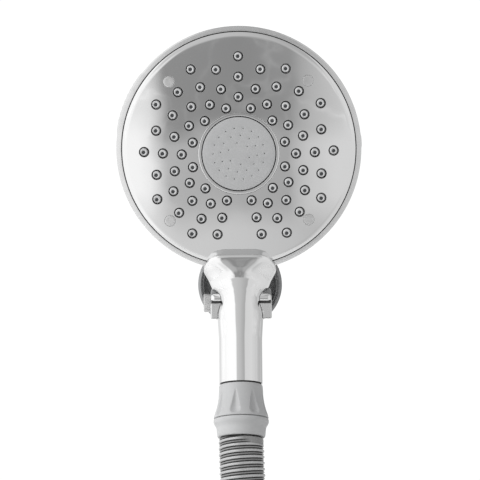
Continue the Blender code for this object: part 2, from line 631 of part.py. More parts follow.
def build():
    clear_scene()
    head = frame("head_frame", HEAD_AT)
    waist = [HEAD_AT[k] + WAIST_FROM_HEAD[k] for k in range(3)]
    handle = frame("handle_frame", waist, -HANDLE_LEAN)
    spray = frame("spray_frame", (HEAD_AT[0], HEAD_AT[1], HEAD_AT[2] - SPRAY_DROP))
    ball = frame("ball_frame", BALL_AT)
    pin = frame("pin_frame", PIN_AT)
    front = HOSE_ROUTE[-1][1]
    leave = HANK_TOP_BEND - HANK_RUN
    leave -= math.sqrt((HANK_BEND + HOSE_RADIUS) ** 2 - (HANK_BEND - HOSE_RADIUS) ** 2) + 1.6
    far = frame("far_end_frame", (HANK_LAYER, front, leave))
    make_face(head, spray)
    make_turbine(spray)
    make_selector(head)
    make_housing(head, handle)
    make_inlet(handle)
    make_hose_end(handle)
    make_hose()
    make_far_end(far)
    make_detent(head)
    make_cradle(handle, pin)
    make_bracket(ball, pin)
    make_arm_fitting(ball)


build()
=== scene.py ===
"""The handheld shower head's looks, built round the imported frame.

Lengths are in millimetres until a piece is made, where MM turns them into metres.
"""

import math

import bmesh
import bpy
import numpy as np
from mathutils import Matrix, Vector
from mathutils.geometry import delaunay_2d_cdt


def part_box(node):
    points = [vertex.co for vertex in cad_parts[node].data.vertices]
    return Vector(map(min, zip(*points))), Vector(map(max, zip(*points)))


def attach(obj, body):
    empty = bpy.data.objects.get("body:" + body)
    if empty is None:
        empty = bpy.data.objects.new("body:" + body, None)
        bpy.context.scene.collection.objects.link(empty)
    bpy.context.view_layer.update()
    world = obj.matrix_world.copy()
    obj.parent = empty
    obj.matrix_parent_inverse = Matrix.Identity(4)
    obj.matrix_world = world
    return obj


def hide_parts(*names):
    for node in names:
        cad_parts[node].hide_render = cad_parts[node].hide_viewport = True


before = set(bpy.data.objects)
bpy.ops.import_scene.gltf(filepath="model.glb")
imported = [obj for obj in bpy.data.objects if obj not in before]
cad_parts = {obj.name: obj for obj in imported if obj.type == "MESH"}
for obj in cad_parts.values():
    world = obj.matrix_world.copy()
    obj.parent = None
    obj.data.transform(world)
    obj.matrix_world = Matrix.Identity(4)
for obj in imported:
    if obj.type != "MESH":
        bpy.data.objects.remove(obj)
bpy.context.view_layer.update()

MM = 0.001
TURN = 2.0 * math.pi

# The frames the pieces are made in, as in the CAD.
LEAN = math.radians(-19.0)
HEAD = Matrix.Translation((0.0, -96.0, 83.0))
SPRAY = Matrix.Translation((0.0, -96.0, 80.0))
HANDLE = Matrix.Translation((0.0, -98.9, -8.7)) @ Matrix.Rotation(LEAN, 4, "X")
BALL = Matrix.Translation((0.0, -34.0, 0.0))
PIN_Y, PIN_Z = -74.0, -8.8
PIN = Matrix.Translation((0.0, PIN_Y, PIN_Z))
WORLD = Matrix.Identity(4)
PLATE_RADIUS, PLATE_DOME, PLATE_THICK = 67.5, 4.0, 1.6
RIM_RADIUS = 71.2
SPRAY_DROP = 3.0
HOSE_RADIUS = 13.1


def add(name, data):
    """A new object in the scene."""
    made = bpy.data.objects.new(name, data)
    bpy.context.scene.collection.objects.link(made)
    return made


# ---------------------------------------------------------------- camera

def look(azimuth, elevation, distance, target, roll):
    """A camera aimed at target, in millimetres and degrees."""
    data = bpy.data.cameras.new("camera")
    data.sensor_width = 36.0
    data.lens = 194.0
    data.clip_end = 50.0
    eye = add("camera", data)
    a, e = math.radians(azimuth), math.radians(elevation)
    way = Vector((math.sin(a) * math.cos(e), -math.cos(a) * math.cos(e), math.sin(e)))
    eye.location = (Vector(target) + way * distance) * MM
    turn = (-way).to_track_quat("-Z", "Y").to_matrix().to_4x4()
    eye.rotation_euler = (turn @ Matrix.Rotation(math.radians(roll), 4, "Z")).to_euler()
    bpy.context.scene.camera = eye


look(0.0, 5.0, 1500.0, (0.2, -96.0, 30.2), -0.5)


# ---------------------------------------------------------------- shapes

def polar(radius, degrees):
    """A point on a circle."""
    a = math.radians(degrees)
    return radius * math.cos(a), radius * math.sin(a)


def unit(value):
    """A number held between 0 and 1."""
    return np.clip(value, 0.0, 1.0)


def flow(stations, at):
    """Columns of numbers read off at new first values, smoothly and without overshoot."""
    table = np.array(stations, float)
    x, y = table[:, 0], table[:, 1:]
    step = np.diff(x)[:, None]
    rise = np.diff(y, axis=0) / step
    slope = np.zeros_like(y)
    near, far = 2 * step[1:] + step[:-1], step[1:] + 2 * step[:-1]
    same = rise[:-1] * rise[1:] > 0
    safe = np.where(same, rise[:-1], 1.0), np.where(same, rise[1:], 1.0)
    slope[1:-1] = np.where(same, (near + far) / (near / safe[0] + far / safe[1]), 0.0)
    slope[0], slope[-1] = rise[0], rise[-1]
    at = np.clip(np.asarray(at, float), x[0], x[-1])
    i = np.clip(np.searchsorted(x, at) - 1, 0, len(x) - 2)
    h = step[i]
    t = (at - x[i])[..., None] / h
    return ((2 * t**3 - 3 * t**2 + 1) * y[i] + (t**3 - 2 * t**2 + t) * h * slope[i]
            + (3 * t**2 - 2 * t**3) * y[i + 1] + (t**3 - t**2) * h * slope[i + 1])


def softened(outline, radius, steps=4):
    """An outline with its corners rounded; points on the axis stay."""
    spots = [np.array(p, float) for p in outline]
    made = []
    for i, spot in enumerate(spots):
        if spot[0] < 1e-6:
            made.append(tuple(spot))
            continue
        before, after = spots[i - 1], spots[(i + 1) % len(spots)]
        back, on = before - spot, after - spot
        long = min(np.linalg.norm(back), np.linalg.norm(on))
        cosine = np.dot(back, on) / (np.linalg.norm(back) * np.linalg.norm(on))
        if cosine < -0.996:
            made.append(tuple(spot))
            continue
        cut = min(radius, 0.45 * long)
        a, b = spot + back / np.linalg.norm(back) * cut, spot + on / np.linalg.norm(on) * cut
        for k in range(steps + 1):
            t = k / steps
            made.append(tuple((1 - t) ** 2 * a + 2 * t * (1 - t) * spot + t**2 * b))
    return made


def spun(profile, segments, shape=None, axis="Z", centre=(0.0, 0.0, 0.0)):
    """A closed outline of (radius, height) turned round an axis.

    shape(radius, height, angle) may give each point a radius of its own.
    """
    points, faces, rings = [], [], []
    angles = TURN * np.arange(segments) / segments
    for radius, height in profile:
        start = len(points)
        if radius < 1e-6:
            rings.append([start])
            points.append((0.0, 0.0, height))
            continue
        r = np.full(segments, float(radius))
        if shape:
            r = shape(r, np.full(segments, float(height)), angles)
        rings.append(list(range(start, start + segments)))
        points += list(zip(r * np.cos(angles), r * np.sin(angles), np.full(segments, height)))
    for a, b in zip(rings, rings[1:] + rings[:1]):
        if len(a) == len(b) == 1:
            continue
        for i in range(segments):
            j = (i + 1) % segments
            corners = [a[i % len(a)], a[j % len(a)], b[j % len(b)], b[i % len(b)]]
            faces.append(list(dict.fromkeys(corners)))
    points = np.array(points, float)
    if axis == "Y":
        points = points[:, [0, 2, 1]]
    if axis == "X":
        points = points[:, [2, 0, 1]]
    return points + np.array(centre), faces


def joined(*parts):
    """Several (points, faces) as one."""
    points, faces, start = [], [], 0
    for some, sides in parts:
        points.append(np.asarray(some, float))
        faces += [[k + start for k in side] for side in sides]
        start += len(some)
    return np.concatenate(points), faces


def slab(outline, low, high, edge, corner, steps):
    """A closed outline pushed up from low to high, with rounded corners and end edges."""
    ring = np.array(softened(outline, corner, steps))
    area = np.sum(ring[:, 0] * np.roll(ring[:, 1], -1) - np.roll(ring[:, 0], -1) * ring[:, 1])
    if area < 0:
        ring = ring[::-1]
    along = np.roll(ring, -1, 0) - np.roll(ring, 1, 0)
    along /= np.linalg.norm(along, axis=1)[:, None]
    inward = np.stack([-along[:, 1], along[:, 0]], 1)
    levels = []
    for k in range(steps + 1):
        t = 0.5 * math.pi * k / steps
        levels.append((low + edge * (1 - math.sin(t)), edge * (1 - math.cos(t))))
    levels = levels[::-1] + [(high + low - at, inset) for at, inset in levels]
    count = len(ring)
    points = [np.column_stack([ring + inward * inset, np.full(count, at)]) for at, inset in levels]
    faces = []
    for k in range(len(levels) - 1):
        for i in range(count):
            j = (i + 1) % count
            faces.append([k * count + i, k * count + j, (k + 1) * count + j, (k + 1) * count + i])
    faces.append(list(range(count)))
    faces.append(list(range((len(levels) - 1) * count, len(levels) * count))[::-1])
    return np.concatenate(points), faces


def surface_of(field, low, high, cell):
    """Surface nets: four-sided faces where field is zero, then pulled exactly on to it."""
    axes = [np.arange(a, b + cell, cell) for a, b in zip(low, high)]
    spots = np.stack(np.meshgrid(*axes, indexing="ij"), -1)
    value = field(spots.reshape(-1, 3)).reshape(spots.shape[:3])
    inside = value < 0
    size = [s - 1 for s in value.shape]
    corners = [(i, j, k) for i in (0, 1) for j in (0, 1) for k in (0, 1)]
    count = sum(inside[i:size[0] + i, j:size[1] + j, k:size[2] + k].astype(int) for i, j, k in corners)
    cells = np.argwhere((count > 0) & (count < 8))
    number = np.full(size, -1)
    number[tuple(cells.T)] = np.arange(len(cells))
    total, hits = np.zeros((len(cells), 3)), np.zeros(len(cells))
    for a in corners:
        for k in range(3):
            if a[k]:
                continue
            b = tuple(a[m] + (m == k) for m in range(3))
            va = value[tuple((cells + a).T)]
            vb = value[tuple((cells + b).T)]
            cross = (va < 0) != (vb < 0)
            t = np.where(cross, va / np.where(cross, va - vb, 1.0), 0.0)[:, None]
            spot = cells + a + t * (np.array(b) - a)
            total += np.where(cross[:, None], spot, 0.0)
            hits += cross
    points = total / hits[:, None] * cell + np.array(low)
    faces = []
    for k in range(3):
        m, n = (k + 1) % 3, (k + 2) % 3
        ahead = [slice(None)] * 3
        ahead[k] = slice(1, None)
        behind = [slice(None)] * 3
        behind[k] = slice(None, -1)
        starts = inside[tuple(behind)]
        for spot in np.argwhere(starts != inside[tuple(ahead)]):
            if spot[m] < 1 or spot[n] < 1 or spot[m] >= size[m] or spot[n] >= size[n]:
                continue
            around = []
            for dm, dn in ((0, 0), (-1, 0), (-1, -1), (0, -1)):
                at = spot.copy()
                at[m] += dm
                at[n] += dn
                around.append(number[tuple(at)])
            faces.append([int(c) for c in (around if starts[tuple(spot)] else around[::-1])])
    for _ in range(6):
        value, slope = field(points), gradient(field, points)
        push = (value / np.maximum((slope**2).sum(1), 1e-4))[:, None] * slope
        far = np.maximum(np.linalg.norm(push, axis=1, keepdims=True) / (0.4 * cell), 1.0)
        points = points - push / far
    return points, faces


def gradient(field, points, step=0.02):
    """How a field grows at each point."""
    made = np.empty_like(points)
    for k in range(3):
        aside = np.zeros(3)
        aside[k] = step
        made[:, k] = (field(points + aside) - field(points - aside)) / (2 * step)
    return made


def nearer(a, b, blend):
    """The smaller of two fields, with a fillet of about that size where they meet."""
    mix = np.maximum(blend - np.abs(a - b), 0.0) / blend
    return np.minimum(a, b) - mix * mix * blend / 4


def further(a, b, blend):
    """The larger of two fields, with the same fillet."""
    return -nearer(-a, -b, blend)


def spots_of(mesh):
    """A mesh's points as an array."""
    flat = np.empty(len(mesh.vertices) * 3)
    mesh.vertices.foreach_get("co", flat)
    return flat.reshape(-1, 3)


def outward(mesh):
    """Turns the faces to point out."""
    bm = bmesh.new()
    bm.from_mesh(mesh)
    bmesh.ops.recalc_face_normals(bm, faces=bm.faces)
    bm.to_mesh(mesh)
    bm.free()
    return mesh


def mesh_of(points, faces, name="piece", place=WORLD):
    """A mesh in metres from points in millimetres of the frame that place stands for."""
    turn = np.array(place)
    world = (np.asarray(points, float) @ turn[:3, :3].T + turn[:3, 3]) * MM
    mesh = bpy.data.meshes.new(name)
    mesh.from_pydata(world.tolist(), [], faces)
    mesh.update()
    return outward(mesh)


def make(name, shape, place, body, finish, slot, replaces=(), sharp=38.0):
    """A piece of the object from (points, faces) or a mesh."""
    mesh = shape if isinstance(shape, bpy.types.Mesh) else mesh_of(*shape, name, place)
    mesh.name = name
    mesh.materials.clear()
    mesh.materials.append(finish.made)
    if sharp:
        mesh.shade_smooth()
        mesh.set_sharp_from_angle(angle=math.radians(sharp))
    piece = add(name, mesh)
    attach(piece, body)
    if replaces:
        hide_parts(*replaces)
    return piece


def cut(mesh, tool, how="DIFFERENCE"):
    """One mesh cut by another or joined with it."""
    pair = [add("work", m) for m in (mesh, tool)]
    step = pair[0].modifiers.new("cut", "BOOLEAN")
    step.operation = how
    step.solver = "EXACT"
    step.object = pair[1]
    bpy.context.view_layer.update()
    graph = bpy.context.evaluated_depsgraph_get()
    made = bpy.data.meshes.new_from_object(pair[0].evaluated_get(graph))
    for o in pair:
        bpy.data.objects.remove(o, do_unlink=True)
    return made


def dome(r):
    """The plate's front: a shallow dome that rolls back over its last three millimetres."""
    return PLATE_DOME * ((r / PLATE_RADIUS) ** 2 - 1.0) + 0.035 * np.maximum(r - 64.5, 0.0) ** 2


# ---------------------------------------------------------------- finishes

def new_node(tree, kind, inputs=None, **settings):
    """A shader node, with values for some of its inputs."""
    made = tree.nodes.new(kind)
    for key, value in settings.items():
        setattr(made, key, value)
    for socket, value in (inputs or {}).items():
        made.inputs[socket].default_value = value
    return made


def set_stops(ramp, stops):
    """A colour ramp's (position, colour) stops."""
    while len(ramp.elements) < len(stops):
        ramp.elements.new(0.5)
    for element, (at, colour) in zip(ramp.elements, stops):
        element.position = at
        element.color = (*colour, 1.0)


class Finish:
    """A node material: one Principled shader whose colour, roughness and bump come from texture nodes."""

    def __init__(self, name, metallic=0.0, **fixed):
        self.made = bpy.data.materials.new(name)
        self.made.use_nodes = True
        self.tree = self.made.node_tree
        self.shader = self.tree.nodes["Principled BSDF"]
        self.shader.inputs["Metallic"].default_value = metallic
        for socket, value in fixed.items():
            self.shader.inputs[socket.replace("_", " ")].default_value = value
        self.where = self.node("ShaderNodeTexCoord").outputs["Object"]
        self.height = None

    def node(self, kind, inputs=None, **settings):
        return new_node(self.tree, kind, inputs, **settings)

    def link(self, a, b):
        self.tree.links.new(a, b)

    def noise(self, size, detail=3.0, rough=0.5):
        """Noise whose blotches are about size millimetres."""
        where = self.node("ShaderNodeMapping")
        self.link(self.where, where.inputs["Vector"])
        made = self.node("ShaderNodeTexNoise", {"Scale": 1.0 / (size * MM), "Detail": detail,
                                                "Roughness": rough})
        self.link(where.outputs["Vector"], made.inputs["Vector"])
        return made.outputs["Fac"]

    def spread(self, value, low, high):
        """A value between low and high, over the middle of a texture's range."""
        made = self.node("ShaderNodeMapRange",
                         {"From Min": 0.35, "From Max": 0.65, "To Min": low, "To Max": high})
        self.link(value, made.inputs["Value"])
        return made.outputs["Result"]

    def colours(self, value, stops):
        made = self.node("ShaderNodeValToRGB")
        set_stops(made.color_ramp, stops)
        self.link(value, made.inputs["Fac"])
        self.link(made.outputs["Color"], self.shader.inputs["Base Color"])
        return self

    def roughness(self, value):
        self.link(value, self.shader.inputs["Roughness"])
        return self

    def bump(self, value, deep, strength=1.0):
        """Adds a bump of about deep millimetres."""
        made = self.node("ShaderNodeBump", {"Distance": deep * MM, "Strength": strength})
        self.link(value, made.inputs["Height"])
        if self.height:
            self.link(self.height, made.inputs["Normal"])
        self.height = made.outputs["Normal"]
        self.link(self.height, self.shader.inputs["Normal"])
        return self

    def wave(self, size, axis, distort):
        """Straight bands about size millimetres apart."""
        scale = 1.0 / (20.0 * size * MM) * 3.18
        made = self.node("ShaderNodeTexWave", {"Scale": scale, "Distortion": distort, "Detail": 2.0},
                         bands_direction=axis)
        self.link(self.where, made.inputs["Vector"])
        return made.outputs["Fac"]


def grey(value, tint=0.0):
    """A grey, a little blue with a tint above 0."""
    return (value, value + tint * 0.5, value + tint)


def plated(name, value, rough, wave=0.02):
    """Chrome plate on moulded plastic: faint flow waves and water spots."""
    f = Finish(name, 1.0)
    f.colours(f.noise(35.0, 2.0), [(0.3, grey(value * 0.985)), (0.7, grey(value, 0.004))])
    f.roughness(f.spread(f.noise(6.0, 5.0, 0.6), rough * 0.75, rough * 1.35))
    f.bump(f.noise(22.0, 1.0), wave)
    return f


def moulded(name, value, rough, grain=0.25, deep=0.02, tint=0.006):
    """Moulded plastic: slight colour flow and a fine spark grain."""
    f = Finish(name, 0.0)
    f.colours(f.noise(14.0, 4.0), [(0.3, grey(value * 0.95, tint)), (0.7, grey(value * 1.04, tint))])
    f.roughness(f.spread(f.noise(2.5, 5.0, 0.65), rough - 0.05, rough + 0.07))
    f.bump(f.noise(grain, 3.0, 0.6), deep, 0.6)
    return f


def turned_metal(name, colours, rough, size=0.3, axis="Z"):
    """Metal with fine lathe lines and slight staining."""
    f = Finish(name, 1.0)
    f.colours(f.noise(5.0, 5.0, 0.6), [(0.3, colours[0]), (0.7, colours[1])])
    f.roughness(f.spread(f.noise(1.2, 4.0), rough * 0.8, rough * 1.3))
    f.bump(f.wave(size, axis, 0.6), 0.01, 0.5)
    return f


chrome = plated("chrome", 0.80, 0.045)
plate_chrome = plated("plate_chrome", 0.78, 0.05, 0.05)
plug_satin = plated("plug_satin", 0.60, 0.42)
ring_satin = plated("satin_chrome", 0.66, 0.24)
ring_satin.bump(ring_satin.noise(1.6, 2.0), 0.002, 0.2)
cradle_satin = plated("cradle_satin", 0.72, 0.24)
cradle_satin.bump(cradle_satin.noise(1.2, 2.0), 0.004, 0.4)
bracket_grey = moulded("bracket_plastic", 0.22, 0.36)
rim_grey = moulded("bracket_rim", 0.22, 0.25)
knob_satin = plated("knob_satin", 0.66, 0.5)
nut_grey = moulded("nut_plastic", 0.37, 0.36, 0.3, 0.015)
collar_grey = moulded("collar_plastic", 0.38, 0.38, 0.3, 0.012)
silicone = moulded("nozzle_silicone", 0.46, 0.30, 0.5, 0.01)
# Near black: painted shade for the insides of the nozzle bores, not the silicone's colour.
bore_shade_finish = moulded("painted_nozzle_shade", 0.045, 0.45)
mist = moulded("mist_plastic", 0.36, 0.52, 0.35, 0.03)
white = moulded("white_plastic", 0.78, 0.38)
carrier = moulded("carrier_plastic", 0.04, 0.45)
rubber = moulded("rubber", 0.03, 0.68, 0.4, 0.03, 0.0)
brass = turned_metal("brass", ((0.62, 0.44, 0.20), (0.74, 0.54, 0.27)), 0.26)
steel = turned_metal("pin_steel", (grey(0.52), grey(0.60)), 0.24, 0.25, "X")
arm_chrome = plated("arm_chrome", 0.76, 0.10)

hose_metal = Finish("hose_metal", 0.5)
# Painted shade: the deeper a point lies in a groove, the darker its colour, down to near black, standing in
# for the shadow between the hose's turns.
painted_groove_shade = hose_metal.node("ShaderNodeAttribute", attribute_name="groove_shade").outputs["Fac"]
hose_metal.colours(painted_groove_shade, [(0.12, grey(0.43, 0.003)), (0.38, grey(0.23)), (0.80, grey(0.02))])
hose_metal.roughness(hose_metal.spread(hose_metal.noise(1.5, 5.0), 0.16, 0.30))
hose_metal.bump(hose_metal.noise(1.1, 2.0), 0.01, 0.4)

strap = Finish("tie_fabric", 0.0, Sheen_Weight=0.35, Sheen_Roughness=0.4)
strap.colours(strap.noise(0.9, 4.0), [(0.3, grey(0.018)), (0.7, grey(0.05))])
strap.roughness(strap.spread(strap.noise(0.4, 3.0), 0.75, 0.95))
strap.bump(strap.wave(0.7, "DIAGONAL", 0.3), 0.12, 0.7)
strap.bump(strap.noise(0.25, 3.0), 0.08, 0.6)


# ---------------------------------------------------------------- hose

HOSE_ROUTE = [(0.0, -123.87, -81.22), (0.1, -127.3, -91.3), (0.5, -130.7, -103.0), (0.85, -133.3, -115.5),
              (0.8, -135.0, -128.5), (0.3, -135.9, -142.0), (0.0, -136.2, -156.0)]
HANK_RUN, HANK_BEND, HANK_LAYER, HANK_TOP_BEND = 273.0, 76.0, 26.6, -216.8
FAR_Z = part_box("end_collar")[1].z / MM
TURN_PITCH = 3.5
HOSE_SIDES = 22
# Height of one turn's outline against HOSE_RADIUS, over one pitch: a rounded band, then a narrow bead.
HOSE_TURN = [(0.00, -1.1), (0.06, -0.45), (0.17, -0.09), (0.30, 0.0), (0.43, -0.12), (0.53, -0.5),
             (0.59, -1.1), (0.69, -0.5), (0.80, -0.36), (0.91, -0.6)]
GROOVE = 1.1


def through(points, step):
    """A smooth curve through points, read off about every step."""
    spots = [Vector(p) for p in points]
    spots = [spots[0] * 2 - spots[1]] + spots + [spots[-1] * 2 - spots[-2]]
    made = []
    for a, b, c, d in zip(spots, spots[1:], spots[2:], spots[3:]):
        count = max(1, round((c - b).length / step))
        for i in range(count):
            t = i / count
            made.append(0.5 * (2 * b + (c - a) * t + (2 * a - 5 * b + 4 * c - d) * t**2
                               + (3 * b - a - 3 * c + d) * t**3))
    made.append(spots[-2])
    return made


def hose_line():
    """The whole hose, from the collar through the hank to its far end."""
    line = through(HOSE_ROUTE, 2.0)
    front, leave = HOSE_ROUTE[-1][1:]
    middle, bottom = front + HANK_BEND, HANK_TOP_BEND - HANK_RUN

    def onward(count, spot):
        for i in range(1, count + 1):
            line.append(Vector(spot(i / count)))

    def across(t):
        return HANK_LAYER * (0.5 - 0.5 * math.cos(math.pi * t))

    onward(170, lambda t: (0.0, front, leave + (bottom - leave) * t))
    onward(120, lambda t: (0.0, middle - HANK_BEND * math.cos(math.pi * t),
                           bottom - HANK_BEND * math.sin(math.pi * t)))
    onward(140, lambda t: (0.0, middle + HANK_BEND, bottom + HANK_RUN * t))
    onward(120, lambda t: (across(t), middle + HANK_BEND * math.cos(math.pi * t),
                           HANK_TOP_BEND + HANK_BEND * math.sin(math.pi * t)))
    onward(170, lambda t: (HANK_LAYER, front, HANK_TOP_BEND + (FAR_Z + 0.3 - HANK_TOP_BEND) * t))
    return np.array([tuple(p) for p in line])


def wound_hose(line):
    """A tube of wound, interlocked strip along a line; its first turn is smooth on one side."""
    steps = np.linalg.norm(np.diff(line, axis=0), axis=1)
    along = np.concatenate([[0.0], np.cumsum(steps)])
    total = along[-1]
    turns = int(total / TURN_PITCH) + 2
    rows = np.arange(turns * HOSE_SIDES + 1)
    profile = np.array(HOSE_TURN)
    count = len(profile)
    s = TURN_PITCH * (rows[:, None] / HOSE_SIDES + profile[None, :, 0] - 1.0)
    angle = TURN * rows[:, None] / HOSE_SIDES + np.zeros((1, count))
    radius = HOSE_RADIUS + np.broadcast_to(profile[None, :, 1], s.shape)
    round_to = (np.degrees(angle) + 180.0) % 360.0 - 180.0
    wide = unit((108.0 - round_to) / 45.0) * unit((round_to + 75.0) / 35.0)
    flush = unit((5.2 * wide - s) / 0.5)
    radius = radius + flush * (HOSE_RADIUS - 0.4 - radius)
    # The first turn is sunk to a full groove all round, so the painted groove shade draws a dark line under
    # the collar.
    radius = radius + unit((0.75 - s) / 0.3) * (HOSE_RADIUS - GROOVE - radius)
    flat = np.stack([radius * np.cos(angle), radius * np.sin(angle), s], -1).reshape(-1, 3)
    k = np.arange(len(rows) - 1)[:, None] * count
    j = np.arange(count - 1)[None, :]
    a = (k + j).reshape(-1)
    faces = np.stack([a, a + count, a + count + 1, a + 1], 1)
    k = np.arange(len(rows) - 1 - HOSE_SIDES) * count
    last, first = k + count - 1, k + HOSE_SIDES * count
    faces = np.concatenate([faces, np.stack([last, last + count, first + count, first], 1)])
    mesh = bpy.data.meshes.new("hose")
    mesh.from_pydata(flat.tolist(), [], faces.tolist())
    bm = bmesh.new()
    bm.from_mesh(mesh)
    for height, up in ((0.0, -1.0), (total, 1.0)):
        geom = list(bm.verts) + list(bm.edges) + list(bm.faces)
        made = bmesh.ops.bisect_plane(bm, geom=geom, dist=1e-5, plane_co=(0.0, 0.0, height),
                                      plane_no=(0.0, 0.0, up), clear_outer=True)
        edges = [e for e in made["geom_cut"] if isinstance(e, bmesh.types.BMEdge)]
        bmesh.ops.contextual_create(bm, geom=edges)
    bm.to_mesh(mesh)
    bm.free()
    flat = spots_of(mesh)
    ahead = np.gradient(line, along, axis=0)
    ahead /= np.linalg.norm(ahead, axis=1)[:, None]
    side = np.empty_like(ahead)
    side[0] = (1.0, 0.0, 0.0)
    for i in range(1, len(ahead)):
        kept = side[i - 1] - ahead[i] * np.dot(side[i - 1], ahead[i])
        side[i] = kept / np.linalg.norm(kept)
    over = np.cross(ahead, side)
    where = np.clip(flat[:, 2], 0.0, total)

    def read(table):
        return np.stack([np.interp(where, along, table[:, m]) for m in range(3)], 1)

    bent = read(line) + read(side) * flat[:, :1] + read(over) * flat[:, 1:2]
    mesh.vertices.foreach_set("co", (bent * MM).reshape(-1))
    # How deep each point lies in a groove, kept for the hose material's painted shade.
    groove_shade = mesh.attributes.new("groove_shade", "FLOAT", "POINT")
    groove_shade_amount = (HOSE_RADIUS - np.hypot(flat[:, 0], flat[:, 1])) / GROOVE
    groove_shade.data.foreach_set("value", unit(groove_shade_amount))
    mesh.update()
    return outward(mesh)


line = hose_line()
hose = make("hose_wound", wound_hose(line), None, "handset", hose_metal, "hose",
            ("hose", "hose_hank"), sharp=50.0)


# ---------------------------------------------------------------- spray face

NOZZLE_RINGS, RING_FIRST, RING_STEP = 6, 27.5, 5.45
NOZZLE_SINK = 1.3


def nozzle_places():
    """(x, z) of every nozzle in the head frame; the inner rings sit a little lower."""
    places = []
    for ring in range(NOZZLE_RINGS):
        radius = RING_FIRST + RING_STEP * ring
        out = (radius**2 - RING_FIRST**2) / (PLATE_RADIUS**2 - RING_FIRST**2)
        for turn in range(12):
            angle = 30 * turn + (0 if ring % 2 else 15)
            if ring % 2 and angle == 270:
                continue
            x, z = polar(radius, angle)
            places.append((x, z - SPRAY_DROP * (1.0 - out)))
    return places


PLUGS = [(x, z - 1.0) for x, z in [polar(56.8, a) for a in (45, 135, 225, 315)]]
NOZZLES = nozzle_places()


def perforated(rim, holes, spacing, front, thick, lip, sides=160):
    """A thin disc round Y with round holes, all edges rounded.

    holes are (x, z, radius, sides); front(r) is the height of the front, lip the edge's radius.
    Also gives the number of points on the front, which come first.
    """
    flat, loops = [], []
    for x, z, r, n in [(0.0, 0.0, rim - lip, sides)] + [(x, z, r + lip, n) for x, z, r, n in holes]:
        loops.append(list(range(len(flat), len(flat) + n)))
        flat += [(x + r * math.cos(TURN * i / n), z + r * math.sin(TURN * i / n)) for i in range(n)]
    edge_rings = [0.5, 1.0, 1.6, 2.3, 3.1, 4.2] if rim > 40 else []
    for inset in edge_rings:
        r = rim - lip - inset
        flat += [(r * math.cos(TURN * i / sides), r * math.sin(TURN * i / sides)) for i in range(sides)]
    inside_of = rim - lip - max(edge_rings, default=0.0) - 0.6 * spacing
    rows = int(rim / spacing) + 1
    for i in range(-rows, rows + 1):
        for j in range(-rows, rows + 1):
            x, z = (i + 0.5 * (j % 2)) * spacing, j * spacing * 0.866
            if math.hypot(x, z) > inside_of:
                continue
            if all(math.hypot(x - hx, z - hz) > r + lip + 0.5 * spacing for hx, hz, r, n in holes):
                flat.append((x, z))
    edges = [(loop[k], loop[(k + 1) % len(loop)]) for loop in loops for k in range(len(loop))]
    spots, _, cells, origin, _, _ = delaunay_2d_cdt([Vector(p) for p in flat], edges, [], 0, 1e-6)
    number = {}
    for new, old in enumerate(origin):
        for k in old:
            number[k] = new
    spots = np.array([tuple(p) for p in spots])
    middles = np.array([spots[list(f)].mean(0) for f in cells])
    keep = np.linalg.norm(middles, axis=1) < rim - lip
    for x, z, r, n in holes:
        keep &= np.hypot(middles[:, 0] - x, middles[:, 1] - z) > (r + lip) * math.cos(math.pi / n)
    count = len(spots)
    height = front(np.linalg.norm(spots, axis=1))
    points = [np.stack([spots[:, 0], height, spots[:, 1]], 1),
              np.stack([spots[:, 0], height + thick, spots[:, 1]], 1)]
    faces = []
    for f, kept in zip(cells, keep):
        if kept:
            faces.append(list(f))
            faces.append([k + count for k in f][::-1])
    start = 2 * count
    centres = [(0.0, 0.0)] + [(x, z) for x, z, r, n in holes]
    for loop, (x, z), out in zip(loops, centres, [1.0] + [-1.0] * len(holes)):
        ring = [number[k] for k in loop]
        n = len(ring)
        base = spots[ring]
        away = base - (x, z)
        away = away / np.linalg.norm(away, axis=1)[:, None] * out
        before = ring
        for at, down in ((0.29, 0.08), (0.71, 0.29), (1.0, 1.0), (1.0, None)):
            moved = base + away * lip * at
            level = height[ring] + (lip * down if down is not None else thick - 0.05)
            points.append(np.stack([moved[:, 0], level, moved[:, 1]], 1))
            now = list(range(start, start + n))
            start += n
            faces += [[before[k], before[(k + 1) % n], now[(k + 1) % n], now[k]] for k in range(n)]
            before = now
        back = [k + count for k in ring]
        faces += [[before[k], before[(k + 1) % n], back[(k + 1) % n], back[k]] for k in range(n)]
    return np.concatenate(points), faces, count


def shade_front(piece, count):
    """Exact normals on a shallow dome's front, so that its mirror has no facets."""
    mesh = piece.data
    mesh.update()
    normals = np.empty(len(mesh.vertices) * 3)
    mesh.vertex_normals.foreach_get("vector", normals)
    normals = normals.reshape(-1, 3)
    spots = spots_of(mesh)[:count] / MM - np.array(HEAD.translation)
    r = np.maximum(np.hypot(spots[:, 0], spots[:, 2]), 0.01)
    slope = (dome(r + 0.01) - dome(r - 0.01)) / 0.02 / r
    exact = np.stack([slope * spots[:, 0], np.full(count, -1.0), slope * spots[:, 2]], 1)
    normals[:count] = exact / np.linalg.norm(exact, axis=1)[:, None]
    mesh.normals_split_custom_set_from_vertices(normals.tolist())


holes = [(x, z, 3.0, 22) for x, z in NOZZLES] + [(x, z, 3.3, 26) for x, z in PLUGS]
holes.append((0.0, -SPRAY_DROP + 0.5, 23.62, 110))
points, faces, count = perforated(PLATE_RADIUS, holes, 3.2, dome, PLATE_THICK, 0.12)
plate = make("face", (points, faces), HEAD, "handset", plate_chrome, "chrome", ("face_plate",), sharp=0)
plate.data.shade_smooth()
shade_front(plate, count)
skirt = softened([(PLATE_RADIUS - 0.15, 0.9), (PLATE_RADIUS - 0.15, 3.6), (PLATE_RADIUS - 1.6, 3.6),
                  (PLATE_RADIUS - 1.6, 0.9)], 0.2, 3)
make("face_skirt", spun(skirt, 160, axis="Y"), HEAD, "handset", chrome, "chrome")
gasket = [(67.38, 1.3), (67.93, 1.3), (67.93, 2.8), (67.38, 2.8)]
make("face_gasket", spun(gasket, 200, axis="Y"), HEAD, "handset", rubber, "rubber")


